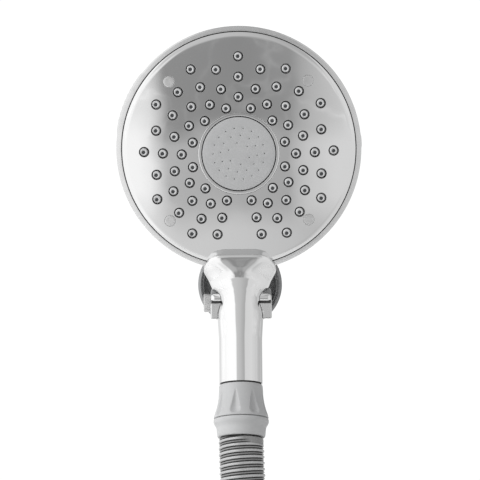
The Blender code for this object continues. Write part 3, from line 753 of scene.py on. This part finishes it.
def plug(x, z):
    """A flush plug that follows the plate's dome."""
    points, faces = spun([(0.0, 0.02), (2.0, 0.02), (3.02, 0.02), (3.16, 0.07), (3.22, 0.2), (3.22, 1.5),
                          (0.0, 1.5)], 40, axis="Y")
    points = points + (x, 0.0, z)
    points[:, 1] += dome(np.hypot(points[:, 0], points[:, 2]))
    return points, faces


make("face_plugs", joined(*[plug(x, z) for x, z in PLUGS]), HEAD, "handset", plug_satin, "chrome",
     [f"face_plug_{k}" for k in (1, 2, 3, 4)])


def nozzle(x, z):
    """A soft nozzle with a rolled lip round a recess."""
    tip = dome(math.hypot(x, z)) - NOZZLE_SINK
    outline = [(0.0, 3.2), (2.25, 3.2)]
    outline += [(r, tip + rise) for r, rise in (
        (2.2, 1.8), (2.12, 0.8), (2.06, 0.4), (1.93, 0.13), (1.72, 0.0), (1.45, 0.05), (1.2, 0.2),
        (1.04, 0.5),
        (0.97, 1.0), (0.95, 2.2), (0.0, 2.4))]
    points, faces = spun(outline, 20, axis="Y")
    return lean_out(points, x, z), faces


def lean_out(points, x, z):
    """Moves what is inside a nozzle's lip the way its jet goes, and all of it to its place."""
    inner = unit((1.9 - np.hypot(points[:, 0], points[:, 2])) / 0.5) * (points[:, 1] < 2.0)
    points[:, 0] += inner * 0.003 * x
    points[:, 2] += inner * (0.003 * z - 0.3)
    proud = points[:, 1] < dome(math.hypot(x, z))
    return points + np.outer(proud, (-0.12, 0.0, 0.15)) + (x, 0.0, z)


def shade_disc_in_bore(x, z):
    """A near-black disc down a nozzle's bore: painted shade for the dark of the deep hole."""
    tip = dome(math.hypot(x, z)) - NOZZLE_SINK
    low, high = tip + 0.8, tip + 1.6
    points, faces = spun([(0.0, low), (0.96, low), (0.96, high), (0.0, high)], 16, axis="Y")
    return lean_out(points, x, z), faces


mat_disc = softened([(24.3, 2.15), (64.5, 2.15), (64.5, 3.5), (24.3, 3.5)], 0.3, 2)
make("nozzles", joined(spun(mat_disc, 120, axis="Y"), *[nozzle(x, z) for x, z in NOZZLES]), HEAD, "handset",
     silicone, "nozzle_silicone", ("nozzle_mat",), sharp=50.0)

# Painted shade: a near-black disc down every nozzle's bore.
make("nozzle_bores", joined(*[shade_disc_in_bore(x, z) for x, z in NOZZLES]), HEAD, "handset", bore_shade_finish,
     "nozzle_silicone", sharp=50.0)

SPRAY_FACE = SPRAY @ Matrix.Translation((0.0, 0.0, 0.5))
ring = [(21.7, -3.2), (21.72, -3.6), (21.85, -3.74), (23.3, -3.66), (23.46, -3.56), (23.5, -3.3), (23.5, 3.2),
        (21.7, 3.2)]
make("ring_round_mist", spun(softened(ring, 0.06, 2), 110, axis="Y"), SPRAY_FACE, "handset", plate_chrome,
     "satin_chrome", ("centre_ring",), sharp=60.0)

MIST_RADIUS = 21.1
MIST_HOLES = [(*polar(r, first + 360.0 / n * k), 0.3, 8)
              for r, first, n in ((14.85, 0.0, 18), (10.55, -5.0, 12), (6.3, 40.0, 6)) for k in range(n)]


def mist_dish(r):
    """The mist disc's front, a shallow dish."""
    return -4.2 + 0.42 * (r / MIST_RADIUS) ** 2


points, faces, _ = perforated(MIST_RADIUS, MIST_HOLES, 2.2, mist_dish, 2.2, 0.16, 110)
mist_wall = softened([(21.05, -3.0), (21.05, 3.6), (18.2, 3.6), (18.2, -3.0)], 0.3, 2)
make("mist_face", joined((points, faces), spun(mist_wall, 110, axis="Y")), SPRAY_FACE, "handset", mist,
     "mist_plastic", ("mist_disc",), sharp=50.0)


# ---------------------------------------------------------------- selector ring

def bell(angle, start, stop, ease):
    """1 between two angles in degrees, falling to 0 over ease outside them."""
    angle = np.degrees(angle) % 360.0
    up = unit((angle - start) / ease + 1.0)
    down = unit((stop - angle) / ease + 1.0)
    both = np.minimum(up, down)
    return both * both * (3.0 - 2.0 * both)


def ring_shape(r, h, angle):
    """The thumb lobe on the left with its grips, and the stop on the right."""
    outer = unit((r - 69.6) / 1.4)
    middle = unit(1.0 - ((h - 5.0) / 4.2) ** 4)
    lobe = bell(angle, 143.5, 170.0, 3.0)
    ribs = 0.28 * np.maximum(0.0, np.sin(np.radians(np.degrees(angle) * 120.0)))
    ribs = ribs * bell(angle, 148.0, 167.0, 1.0)
    stop = bell(angle, 1.0, 5.5, 0.8) * 0.28
    return r + outer * (lobe * 0.5 + middle * (ribs + stop) - 0.02)


band = softened([(67.95, 1.6), (67.98, 0.95), (68.15, 0.7), (70.3, 1.2), (70.85, 1.5), (70.98, 2.1),
                 (71.0, 8.4), (70.4, 9.0), (67.95, 9.0)], 0.15, 3)
make("selector", spun(band, 540, ring_shape, "Y"), HEAD, "selector", ring_satin, "satin_chrome",
     ("selector_ring",), sharp=50.0)


# ---------------------------------------------------------------- housing

FOOT = -45.4
# (height up the handle, half width, front, back, squareness) from the foot to the shoulder's top.
GRIP = [(-48.0, 12.6, -12.6, 12.6, 2.0), (-20.0, 12.65, -12.6, 12.5, 2.0), (-14.0, 12.95, -12.6, 12.5, 2.03),
        (-7.75, 13.3, -12.65, 12.5, 2.05), (-4.2, 13.2, -12.65, 12.5, 2.08), (-0.65, 12.2, -12.65, 12.4, 2.2),
        (1.7, 11.35, -12.65, 12.3, 2.4), (4.1, 11.2, -12.65, 12.2, 2.47), (6.1, 11.6, -12.65, 12.2, 2.5),
        (7.9, 12.6, -12.7, 12.0, 2.37), (9.2, 15.0, -12.7, 11.7, 2.14),
        (11.6, 16.5, -12.75, 11.0, 2.07), (13.4, 17.3, -12.8, 10.0, 2.0),
        (14.9, 17.9, -12.95, 9.0, 2.0), (16.4, 18.8, -13.3, 8.0, 2.0), (18.5, 20.0, -13.85, 6.4, 2.15),
        (20.6, 21.0, -14.45, 5.0, 2.5), (22.5, 20.7, -14.95, 4.0, 3.1), (25.5, 18.6, -15.75, 2.0, 4.3),
        (27.3, 16.7, -16.2, 0.8, 4.8), (29.2, 13.6, -16.6, -1.0, 4.8), (30.6, 10.0, -16.7, -3.0, 4.0),
        (31.8, 5.0, -16.6, -6.0, 3.0)]
SHOULDER_TOP = 28.4
SPINE = [(0.0, 8.5, -6.0, 11.4, 2.0), (14.0, 13.0, -4.0, 12.6, 2.1), (28.0, 15.0, -2.0, 15.0, 2.1),
         (44.0, 15.0, 6.0, 17.4, 2.1), (60.0, 12.0, 12.0, 19.3, 2.0), (72.0, 6.0, 15.5, 19.4, 2.0)]
FROM_HANDLE = np.array(HANDLE.inverted())
HEAD_SPOT = np.array(HEAD.translation)


def lofted_field(stations, p):
    """A bar whose section, a squared-off oval, changes along Z as its stations say."""
    half, front, back, square = flow(stations, p[:, 2]).T
    middle, deep = (front + back) / 2, (back - front) / 2
    ratio = np.abs(p[:, 0] / half) ** square + np.abs((p[:, 1] - middle) / deep) ** square
    side = (ratio ** (1 / square) - 1.0) * np.minimum(half, deep)
    return np.maximum(side, np.maximum(stations[0][0] - p[:, 2], p[:, 2] - stations[-1][0]))


def in_handle(world):
    return world @ FROM_HANDLE[:3, :3].T + FROM_HANDLE[:3, 3]


def housing_field(world):
    """Handle, shoulder, head shell and the spine behind them, blended into one."""
    p = in_handle(world)
    grip = further(lofted_field(GRIP, p), p[:, 2] - SHOULDER_TOP, 2.6)
    spine = lofted_field(SPINE, p)
    q = world - HEAD_SPOT
    r = np.hypot(q[:, 0], q[:, 2])
    rise = np.maximum(q[:, 1] - 9.4, 0.0)
    shell = (((r / 70.9) ** 2.3 + (rise / 28.4) ** 2.15 + 1e-9) ** (1 / 2.2) - 1.0) * 30.0
    shell = further(shell, 9.4 - q[:, 1], 1.2)
    return nearer(nearer(grip, shell, 7.0), spine, 2.5)


def shade_from(mesh, field, tolerance=0.03):
    """Normals straight from the field wherever a face lies on it."""
    mesh.update()
    mesh.shade_smooth()
    spots = spots_of(mesh) / MM
    on = np.abs(field(spots)) < tolerance
    slope = gradient(field, spots, 0.05)
    slope /= np.maximum(np.linalg.norm(slope, axis=1), 1e-9)[:, None]
    normals = []
    for face in mesh.polygons:
        flat = np.array(face.normal)
        for v in face.vertices:
            good = on[v] and np.dot(slope[v], flat) > 0.8
            normals.append(slope[v] if good else flat)
    mesh.normals_split_custom_set(normals)


shell = mesh_of(*surface_of(housing_field, (-73.3, -129.0, -60.0), (73.3, -55.0, 157.0), 1.35))
room = [(0.0, -1.9), (RIM_RADIUS + 1.3, -1.9), (RIM_RADIUS + 1.3, 9.35), (0.0, 9.35)]
hollow = [(0.0, 6.0), (68.3, 6.0), (68.3, 11.6), (65.4, 17.6), (57.6, 24.4), (43.0, 30.2), (0.0, 35.0)]
bore = [(0.0, -60.0), (9.3, -60.0), (9.3, -30.0), (7.2, -28.0), (7.2, 3.0), (0.0, 3.0)]
foot = [(0.0, -70.0), (30.0, -70.0), (30.0, FOOT), (0.0, FOOT)]
for tool, place in ((spun(foot, 48), HANDLE), (spun(room, 200, axis="Y"), HEAD),
                    (spun(hollow, 72, axis="Y"), HEAD), (spun(bore, 40), HANDLE)):
    shell = cut(shell, mesh_of(*tool, "cutter", place))
post = softened([(2.3, 15.4), (7.6, 15.4), (7.6, 36.0), (2.3, 36.0)], 0.3, 2)
shell = cut(shell, mesh_of(*spun(post, 32, axis="Y"), "post", HEAD), "UNION")
housing = make("housing", shell, None, "handset", chrome, "chrome", ("head_housing",), sharp=0)
shade_from(housing.data, housing_field)


# ---------------------------------------------------------------- hose end

NUT = [(-65.2, 15.75), (-63.4, 15.3), (-59.8, 14.15), (-56.3, 13.35), (-52.7, 12.85), (-49.2, 12.68),
       (-46.9, 12.55), (-46.3, 12.3)]
FLUTES, FLUTE_PHASE = 8, math.radians(-90.0 - 13.7)


def nut_shape(r, h, angle):
    """Eight teardrop flutes, pointed above and broad below."""
    along = unit((-50.0 - h) / 14.4)
    closing = np.sqrt(1.0 - unit((along - 0.8) / 0.2) ** 2)
    half = np.radians(1.0 + 11.0 * np.minimum(along / 0.8, 1.0) ** 0.8) * (0.35 + 0.65 * closing)
    deep = 1.6 * np.minimum(along / 0.7, 1.0) ** 0.8 * closing
    off = np.abs((angle - FLUTE_PHASE + math.pi / FLUTES) % (TURN / FLUTES) - math.pi / FLUTES) / half
    return r - deep * unit(1.0 - off**2) * (r > 11.5)


outside = [(float(flow(NUT, h)[0]), float(h)) for h in np.linspace(-46.3, -65.2, 48)]
outside += [(15.6, -65.5), (15.3, -65.65)]
inside = [(9.0, -65.65), (9.0, -64.2), (10.1, -64.2), (10.1, -46.3)]
make("nut_body", spun(outside + inside, 240, nut_shape), HANDLE, "nut", nut_grey, "nut_plastic",
     ("hose_nut",), sharp=55.0)
collar = [(8.9, -65.95), (15.3, -65.95), (15.75, -66.3), (15.9, -67.0), (15.8, -68.1), (15.3, -69.2),
          (14.6, -70.3), (14.25, -71.3), (14.1, -72.6), (13.75, -75.8), (13.35, -76.4), (12.9, -76.5),
          (8.9, -76.5)]
seal = softened([(9.4, -46.2), (11.8, -46.2), (11.8, -45.5), (9.4, -45.5)], 0.15, 2)
make("foot_seal", spun(seal, 80), HANDLE, "handset", rubber, "rubber")
make("collar", spun(collar, 120), HANDLE, "handset", collar_grey, "nut_plastic", ("crimp_collar",),
     sharp=50.0)


# ---------------------------------------------------------------- far end

FAR = Matrix.Translation((HANK_LAYER, HOSE_ROUTE[-1][1], FAR_Z + 0.4))
HEX_FLATS = 26.3


def bore_thread(radius, deep, start, step):
    """The outline of a threaded bore, two points to a crest and two to a root."""
    return [(radius + deep * (1 if k % 4 in (1, 2) else -1), start + step * k) for k in range(46)]


def hexed(r, h, angle):
    """A hexagon where the radius is outside the bore."""
    flat = HEX_FLATS / 2.0 / np.cos((angle + math.pi / 6) % (math.pi / 3) - math.pi / 6)
    return np.where(r > 12.4, np.minimum(r, flat), r)


far_collar = [(8.9, -0.4), (13.1, -0.4), (13.6, -1.4), (13.2, -9.3), (12.6, -10.4), (8.9, -10.4)]
make("far_collar", spun(softened(far_collar, 0.5), 96), FAR, "handset", collar_grey, "nut_plastic",
     ("end_collar",), sharp=50.0)
nut = [(9.0, -10.7), (13.6, -10.7), (14.3, -11.1), (15.05, -11.9), (15.15, -12.6), (15.15, -25.2),
       (15.05, -25.9), (14.3, -26.6), (13.6, -27.0), (11.0, -27.0), (10.5, -26.4)]
nut += bore_thread(10.5, 0.32, -26.2, 0.21) + [(10.4, -15.9), (9.0, -15.8)]
make("far_nut", spun(nut, 96, hexed), FAR, "free_nut", nut_grey, "nut_plastic", ("end_nut",), sharp=28.0)


def strap_round(line, low, high, thick):
    """A band round a closed line of (x, y) points with outward normals."""
    ring = np.array(line)
    along = np.roll(ring, -1, 0) - np.roll(ring, 1, 0)
    along /= np.linalg.norm(along, axis=1)[:, None]
    out = np.stack([along[:, 1], -along[:, 0]], 1)
    section = softened([(1.0, low), (1.0 + thick, low), (1.0 + thick, high), (1.0, high)], 0.45, 3)
    rings, count = [], len(ring)
    for away, z in section:
        rings.append(np.column_stack([ring + out * (away - 1.0), np.full(count, z)]))
    faces, n = [], len(section)
    for k in range(n):
        for i in range(count):
            a, b = k * count, ((k + 1) % n) * count
            j = (i + 1) % count
            faces.append([a + i, b + i, b + j, a + j])
    return np.concatenate(rings), faces


TIE_Z = HANK_TOP_BEND - 60.0
fit = HOSE_RADIUS + 0.15
oval = [(HANK_LAYER + x, y) for x, y in [polar(fit, a) for a in np.linspace(-90, 90, 25)]]
oval += [polar(fit, a) for a in np.linspace(90, 270, 25)]
loop = [(x, y + HOSE_ROUTE[-1][1]) for x, y in oval]
tab = [(8.0, -fit - 1.35), (24.0, -fit - 1.35), (24.0, -fit - 2.35), (8.0, -fit - 2.35)]
tie = joined(strap_round(loop, TIE_Z - 7.6, TIE_Z + 7.6, 1.35),
             slab([(x, y + HOSE_ROUTE[-1][1]) for x, y in tab], TIE_Z - 7.0, TIE_Z + 7.0, 0.35, 0.4, 3))
make("strap", tie, WORLD, "handset", strap, "tie", ("hose_tie",), sharp=45.0)


# ---------------------------------------------------------------- cradle

def boxed(p, low, high, radius):
    """A box with rounded edges, as a field."""
    low, high = np.array(low), np.array(high)
    away = np.abs(p - (low + high) / 2) - (high - low) / 2 + radius
    return np.linalg.norm(np.maximum(away, 0.0), axis=1) + np.minimum(away.max(1), 0.0) - radius


ARM_FRONT = -3.5
ARMS = ((-1, 17.2), (1, 18.3))  # (side, distance of its outer face from the middle)
PIN_BORE = 2.8


def from_pin(p):
    return np.hypot(p[:, 1] - PIN_Y, p[:, 2] - PIN_Z)


def fork_half(p, side, outer):
    """One side's bar, the neck under its cap and its ear round the pin."""
    spot = p * (side, 1.0, 1.0)
    bar = boxed(spot, (8.5, -110.0, -14.8), (outer, -72.0, -6.0), 0.6)
    neck = boxed(spot, (9.0, -110.0, -8.0), (outer - 1.0, -78.0, 0.6), 0.4)
    front = ARM_FRONT - in_handle(p)[:, 1]
    arm = np.minimum(further(bar, front, 0.8), further(neck, front + 1.2, 0.4))
    ear = further(from_pin(p) - 7.0, np.abs(spot[:, 0] - (outer + 9.4) / 2) - (outer - 9.6) / 2, 0.8)
    return nearer(arm, ear, 1.0)


def clear_of_grip(p, field):
    """A field kept 0.07 mm off the handle's own sections; the housing's blends reach further out."""
    return further(field, 0.07 - lofted_field(GRIP, in_handle(p)), 0.1)


def fork_field(p):
    """Both arms and the web behind the handle, less the way of the pin and its nut."""
    web = further(boxed(in_handle(p), (-14.5, 13.3, -9.0), (14.5, 16.9, 6.0), 0.8), -14.9 - p[:, 2], 0.5)
    arms = clear_of_grip(p, np.minimum(*[fork_half(p, side, outer) for side, outer in ARMS]))
    way = np.where(p[:, 0] > 15.4, 5.0, PIN_BORE) - from_pin(p)
    return further(nearer(arms, web, 0.8), way, 0.2)


def on_arms(inner, low, inset, back, top, radius, behind, blend):
    """The field of a block on each arm, from inner outwards, set back from the arm's front."""
    def field(p):
        made = [boxed(p * (side, 1.0, 1.0), (inner, -110.0, low), (outer - inset, back, top), radius)
                for side, outer in ARMS]
        return clear_of_grip(p, further(np.minimum(*made), ARM_FRONT + behind - in_handle(p)[:, 1], blend))
    return field


low, high = (-18.6, -107.0, -17.0), (19.6, -65.8, 3.0)
make("fork", surface_of(fork_field, low, high, 0.45), WORLD, "cradle_fork", cradle_satin,
     "satin_chrome", ("cradle",), sharp=40.0)
# The caps, the dark grey hoods over them, which paint the shade in the gap under the handle's notch, and the
# dark seats that they stand on.
for name, field, cell, finish, slot, sharp in (
        ("fork_caps", on_arms(7.0, -5.5, 0.1, -89.0, -0.4, 2.0, -0.2, 3.0), 0.4, chrome, "satin_chrome",
         50.0),
        # Painted shade: a dark grey block behind the top of each cap.
        ("fork_hoods", on_arms(8.0, -4.0, 0.2, -90.0, 1.7, 1.8, 1.2, 0.6), 0.4, bracket_grey,
         "bracket_plastic", 50.0),
        ("fork_liners", on_arms(9.0, -6.3, 0.5, -92.0, -4.4, 0.2, 0.5, 0.3), 0.35, rubber, "rubber", 40.0)):
    make(name, surface_of(field, low, high, cell), WORLD, "cradle_fork", finish, slot, sharp=sharp)

head = softened([(0.0, -21.5), (4.9, -21.5), (5.4, -21.1), (5.4, -17.6), (5.0, -17.3), (2.5, -17.3),
                 (2.5, 18.3), (0.0, 18.3)], 0.5)
make("pin", spun(head, 96, axis="X"), PIN, "cradle_fork", knob_satin, "satin_chrome", ("pivot_pin",),
     sharp=45.0)


# ---------------------------------------------------------------- bracket

CUP_RADIUS, SEAT_RADIUS, BALL_RADIUS = 25.0, 13.0, 11.0
RIB_RADIUS = 24.65


def cup_ribs(r, h, angle):
    """Shallow grips round the cup's side, behind its rim."""
    ribs = np.maximum(0.0, np.cos(angle * 36)) ** 2
    return r + 0.35 * ribs * (r > 24.2) * (np.abs(h + 15.5) < 3.6)


seat = [polar(SEAT_RADIUS, a) for a in (9, 3, -6, -13, -21, -28, -36)]
cup = [(21.6, -22.4), (21.6, -22.6), (24.3, -22.6), (24.6, -22.4), (24.6, -20.2)]
cup += [(24.6, -19.8), (24.6, -19.3)] + [(RIB_RADIUS, -19.0 + 0.35 * k) for k in range(20)]
cup += [(RIB_RADIUS, -11.8), (22.0, -7.8), (17.4, -7.6), (17.4, 2.0)]
cup += seat + [(8.9, -8.6), (8.9, -12.2), (4.6, -12.2), (4.6, -15.0), (21.6, -15.0), (22.0, -15.6)]
body = mesh_of(*spun(cup, 144, cup_ribs, "Y"), "body", BALL)


THREAD_PITCH = 1.814


def thread_on(r, h, angle):
    """A half-inch pipe thread."""
    phase = (h / THREAD_PITCH - angle / TURN) % 1.0
    return np.where((r > 10.2) & (h < -24.6) & (h > -42.4), r - 0.95 * np.abs(2.0 * phase - 1.0), r)


nipple = [(5.0, -22.5), (9.6, -22.5), (9.6, -24.4)] + [(10.45, -24.5 - 0.22 * k) for k in range(83)]
nipple += [(9.4, -42.6), (9.0, -43.0), (5.0, -43.0)]
column = softened([(5.0, -29.8), (8.0, -29.8), (8.0, 7.9), (5.0, 7.9)], 0.6)
lid = [(0.0, 6.2), (6.0, 6.2), (6.0, 7.6), (0.0, 7.6)]
parts = [mesh_of(*spun(column, 64, centre=(0.0, -20.5, 0.0)), "column", BALL),
         mesh_of(*spun(lid, 40, centre=(0.0, -20.5, 0.0)), "lid", BALL),
         mesh_of(*spun(nipple, 72, thread_on, centre=(0.0, -19.0, 0.0)), "nipple", BALL)]


def lug_field(p):
    """The tongue between the cup and the cradle's pin: a flat bar that tapers to the pin's eye."""
    root, eye = np.array([-55.0, -5.0]), np.array([-74.0, -8.8])
    spot = p[:, 1:] - root
    way = eye - root
    along = unit(spot @ way / np.dot(way, way))
    from_bar = np.linalg.norm(spot - along[:, None] * way, axis=1) - (7.6 - 1.4 * along)
    return further(further(from_bar, np.abs(p[:, 0]) - 8.0, 0.9), PIN_BORE - from_pin(p), 0.2)


parts.append(mesh_of(*surface_of(lug_field, (-9.0, -81.6, -16.6), (9.0, -46.0, 4.0), 0.5), "lug"))
bm = bmesh.new()
bm.from_mesh(body)
for part in parts:
    bm.from_mesh(part)
bm.to_mesh(body)
bm.free()
rim = softened([(22.4, -22.8), (22.9, -23.8), (23.5, -24.1), (CUP_RADIUS, -22.9), (CUP_RADIUS, -20.2),
                (24.7, -20.2),
                (24.7, -22.75)], 0.25, 3)
make("cup_rim", spun(rim, 144, axis="Y"), BALL, "bracket", rim_grey, "bracket_plastic", sharp=35.0)
make("bracket", body, None, "bracket", bracket_grey, "bracket_plastic", ("bracket_body",), sharp=40.0)


def collar_grips(r, h, angle):
    """Finger grips round the swivel collar."""
    wave = 0.5 + 0.5 * np.cos(angle * 16)
    return r - 0.7 * wave**2 * (r > 20.4) * unit(1.0 - ((h - 1.2) / 6.6) ** 4)


swivel = [(17.8, -6.5), (20.6, -6.5), (21.2, -5.9), (21.2, -5.0)] + [(21.2,
                                                                      -4.5 + 0.6 * k) for k in range(20)]
swivel += [(21.2, 7.6), (20.8, 8.7), (19.8, 9.4), (9.75, 9.4)]
swivel += [polar(SEAT_RADIUS, a) for a in (42, 34, 27, 19, 12)]
swivel += [(17.8, 2.7)]
make("swivel", spun(swivel, 192, collar_grips, "Y"), BALL, "bracket", bracket_grey, "bracket_plastic",
     ("swivel_collar",), sharp=40.0)


# ---------------------------------------------------------------- shower arm's fitting

def spanner_flats(r, h, angle):
    """Two flats for a spanner, and knurling round the rest of the nut."""
    flat = 14.4 / np.maximum(np.abs(np.cos(angle)), 0.05)
    knurl = 0.22 * (0.5 + 0.5 * np.cos(angle * 60)) * (np.abs(h - 24.0) < 5.6)
    return np.where(r > 13.0, np.minimum(r - knurl, flat), r)


nut = [(7.1, 14.0), (14.6, 14.0), (15.4, 14.6), (15.6, 15.4), (15.6, 17.6)]
nut += [(15.6, 18.0 + 0.5 * k) for k in range(25)] + [(15.6, 31.2), (15.3, 33.2), (14.6, 34.0), (11.0, 34.0)]
nut += bore_thread(10.25, 0.3, 33.4, -0.3) + [(10.25, 19.0), (7.1, 19.0)]
make("arm_nut_knurled", spun(nut, 240, spanner_flats, "Y"), BALL, "arm_fitting", arm_chrome, "arm_chrome",
     ("arm_nut",), sharp=32.0)
ball = [polar(BALL_RADIUS, a) for a in np.linspace(-66, 50, 40)]
ball += [(6.85, 9.4), (6.8, 10.4), (6.8, 18.6), (4.4, 18.6), (4.4, ball[0][1])]
make("ball_joint", spun(ball, 96, axis="Y"), BALL, "arm_fitting", arm_chrome, "arm_chrome", ("pivot_ball",),
     sharp=40.0)


# ---------------------------------------------------------------- carried-over nodes

CARRIED = {
    "white_plastic": (white, ("water_distributor", "diverter_disc", "turbine", "waterway_tube",
                              "flow_restrictor",
                              "front_seat", "rear_seat")),
    "carrier": (carrier, ("ring_carrier",)),
    "rubber": (rubber, ("arm_washer", "ball_seal", "distributor_seal", "tube_o_ring", "hose_washer",
                        "end_washer",
                        "friction_washer_left", "friction_washer_right")),
    "brass": (brass, ("inlet_spigot", "hose_insert", "end_insert", "detent_plunger")),
    "steel": (steel, ("pin_nut", "centre_screw", "turbine_pin", "filter_screen", "inlet_screen")),
}
for finish, names in CARRIED.values():
    for name in names:
        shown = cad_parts[name]
        shown.data.materials.clear()
        shown.data.materials.append(finish.made)


# ---------------------------------------------------------------- studio

def studio():
    """A white room for the eye, and soft boxes and flags for what shines."""
    world = bpy.data.worlds.new("studio")
    bpy.context.scene.world = world
    world.use_nodes = True
    tree = world.node_tree
    tree.nodes.clear()

    def node(kind, inputs=None, **settings):
        return new_node(tree, kind, inputs, **settings)

    def wire(a, b):
        tree.links.new(a, b)

    def maths(operation, *values):
        made = node("ShaderNodeMath", operation=operation)
        for socket, value in zip(made.inputs, values):
            if isinstance(value, (int, float)):
                socket.default_value = value
            else:
                wire(value, socket)
        return made.outputs[0]

    def ramp(value, stops):
        made = node("ShaderNodeValToRGB")
        set_stops(made.color_ramp, [(at(a), grey(level)) for a, level in stops])
        wire(value, made.inputs["Fac"])
        return made.outputs["Color"]

    way = node("ShaderNodeSeparateXYZ")
    wire(node("ShaderNodeTexCoord").outputs["Generated"], way.inputs[0])
    x, y, z = way.outputs
    azimuth = maths("ARCTAN2", x, maths("MULTIPLY", y, -1.0))
    around = maths("ADD", maths("DIVIDE", azimuth, TURN), 0.5)
    rise = maths("MULTIPLY", maths("ARCSINE", z), 180.0 / math.pi)

    def at(degrees):
        return degrees / 360.0 + 0.5

    waves = node("ShaderNodeTexNoise", {"Scale": 9.0, "Detail": 2.5})
    wire(node("ShaderNodeTexCoord").outputs["Generated"], waves.inputs["Vector"])
    drift = maths("SUBTRACT", waves.outputs["Fac"], 0.5)
    rise = maths("ADD", rise, maths("MULTIPLY", drift, 7.0))
    around = maths("ADD", around, maths("MULTIPLY", drift, 0.008))

    # Levels round the horizon for five bands, from overhead down to the floor.
    bands = [
        ((-180, 0.38), (180, 0.38)),
        ((-180, 0.60), (-155, 0.66), (-114, 0.92), (-98, 1.0), (-60, 1.02), (-27, 1.0), (-22, 0.57),
         (0, 0.50),
         (15, 0.42), (22, 0.40), (25, 0.64), (65, 0.67), (85, 0.56), (109, 0.48), (144, 0.28), (180, 0.60)),
        ((-180, 0.9), (-135, 0.70), (-112, 0.96), (-20, 0.96), (-12.0, 0.72), (-10.2, 0.27), (0, 0.25),
         (7, 0.28),
         (9, 0.42), (14, 0.58), (25, 0.67), (78, 0.66), (96, 0.54), (144, 0.34), (180, 0.9)),
        ((-180, 0.9), (-135, 0.70), (-112, 0.96), (-20, 0.96), (-13.5, 0.93), (-11.7, 0.80), (-10.7, 0.46),
         (-4, 0.42), (7.5, 0.38), (8.8, 0.55), (13.5, 0.66), (110, 0.66), (144, 0.4), (180, 0.9)),
        ((-180, 0.70), (-112, 0.94), (-22, 0.94), (-14, 0.70), (-9, 0.62), (-1, 0.58), (6.5, 0.53),
         (10, 0.49), (13, 0.46), (22, 0.62), (60, 0.67), (110, 0.64), (180, 0.70)),
    ]
    ridge = maths("ABSOLUTE", drift)
    streak = maths("MAXIMUM", maths("SUBTRACT", 1.0, maths("MULTIPLY", ridge, 45.0)), 0.0)
    streak = maths("MULTIPLY", streak, 0.30)
    colour = None
    for stops, start, stop in zip(bands, (None, 68.0, 20.0, 1.5, -9.0), (None, 50.0, 11.0, -2.0, -15.5)):
        made = ramp(around, stops)
        if colour is None:
            colour = made
            continue
        if start == 20.0:
            lined = node("ShaderNodeMixRGB", {"Fac": 1.0}, blend_type="MULTIPLY")
            wire(made, lined.inputs["Color1"])
            wire(maths("ADD", streak, 1.0), lined.inputs["Color2"])
            made = lined.outputs["Color"]
        share = node("ShaderNodeMapRange", {"From Min": start, "From Max": stop},
                     interpolation_type="SMOOTHSTEP")
        wire(rise, share.inputs["Value"])
        mix = node("ShaderNodeMixRGB")
        wire(share.outputs["Result"], mix.inputs["Fac"])
        wire(colour, mix.inputs["Color1"])
        wire(made, mix.inputs["Color2"])
        colour = mix.outputs["Color"]
    lit = node("ShaderNodeBackground", {"Strength": STUDIO_LEVEL})
    seen = node("ShaderNodeBackground", {"Color": (1.0, 1.0, 1.0, 1.0), "Strength": BACKDROP_LEVEL})
    pick = node("ShaderNodeMixShader")
    wire(colour, lit.inputs["Color"])
    wire(node("ShaderNodeLightPath").outputs["Is Camera Ray"], pick.inputs["Fac"])
    wire(lit.outputs[0], pick.inputs[1])
    wire(seen.outputs[0], pick.inputs[2])
    wire(pick.outputs[0], node("ShaderNodeOutputWorld").inputs["Surface"])


STUDIO_LEVEL, BACKDROP_LEVEL = 1.25, 1.05
studio()


def soft_box(name, at, aim, size, power):
    data = bpy.data.lights.new(name, "AREA")
    data.size = size
    data.energy = power
    box = add(name, data)
    box.location = at
    box.rotation_euler = (Vector(aim) - Vector(at)).to_track_quat("-Z", "Y").to_euler()
    box.visible_glossy = False


soft_box("key", (-1.6, -0.8, 0.9), (0.0, -0.1, 0.0), 0.9, 30.0)
soft_box("fill", (1.4, -1.6, 0.5), (0.0, -0.1, 0.0), 1.2, 2.0)
soft_box("back", (0.5, 1.6, 1.0), (0.0, -0.1, 0.0), 1.2, 8.0)


def pale_floor():
    """A round floor below the hanging hose."""
    finish = moulded("floor", 0.80, 0.6, 30.0, 0.05, 0.0)
    points, faces = spun([(0.0, -628.0), (1495.0, -628.0), (1500.0, -623.0), (1500.0, -620.0),
                          (0.0, -620.0)], 96)
    mesh = mesh_of(points, faces, "floor")
    mesh.materials.append(finish.made)
    add("floor", mesh)


pale_floor()
bpy.context.scene.view_settings.view_transform = "Standard"
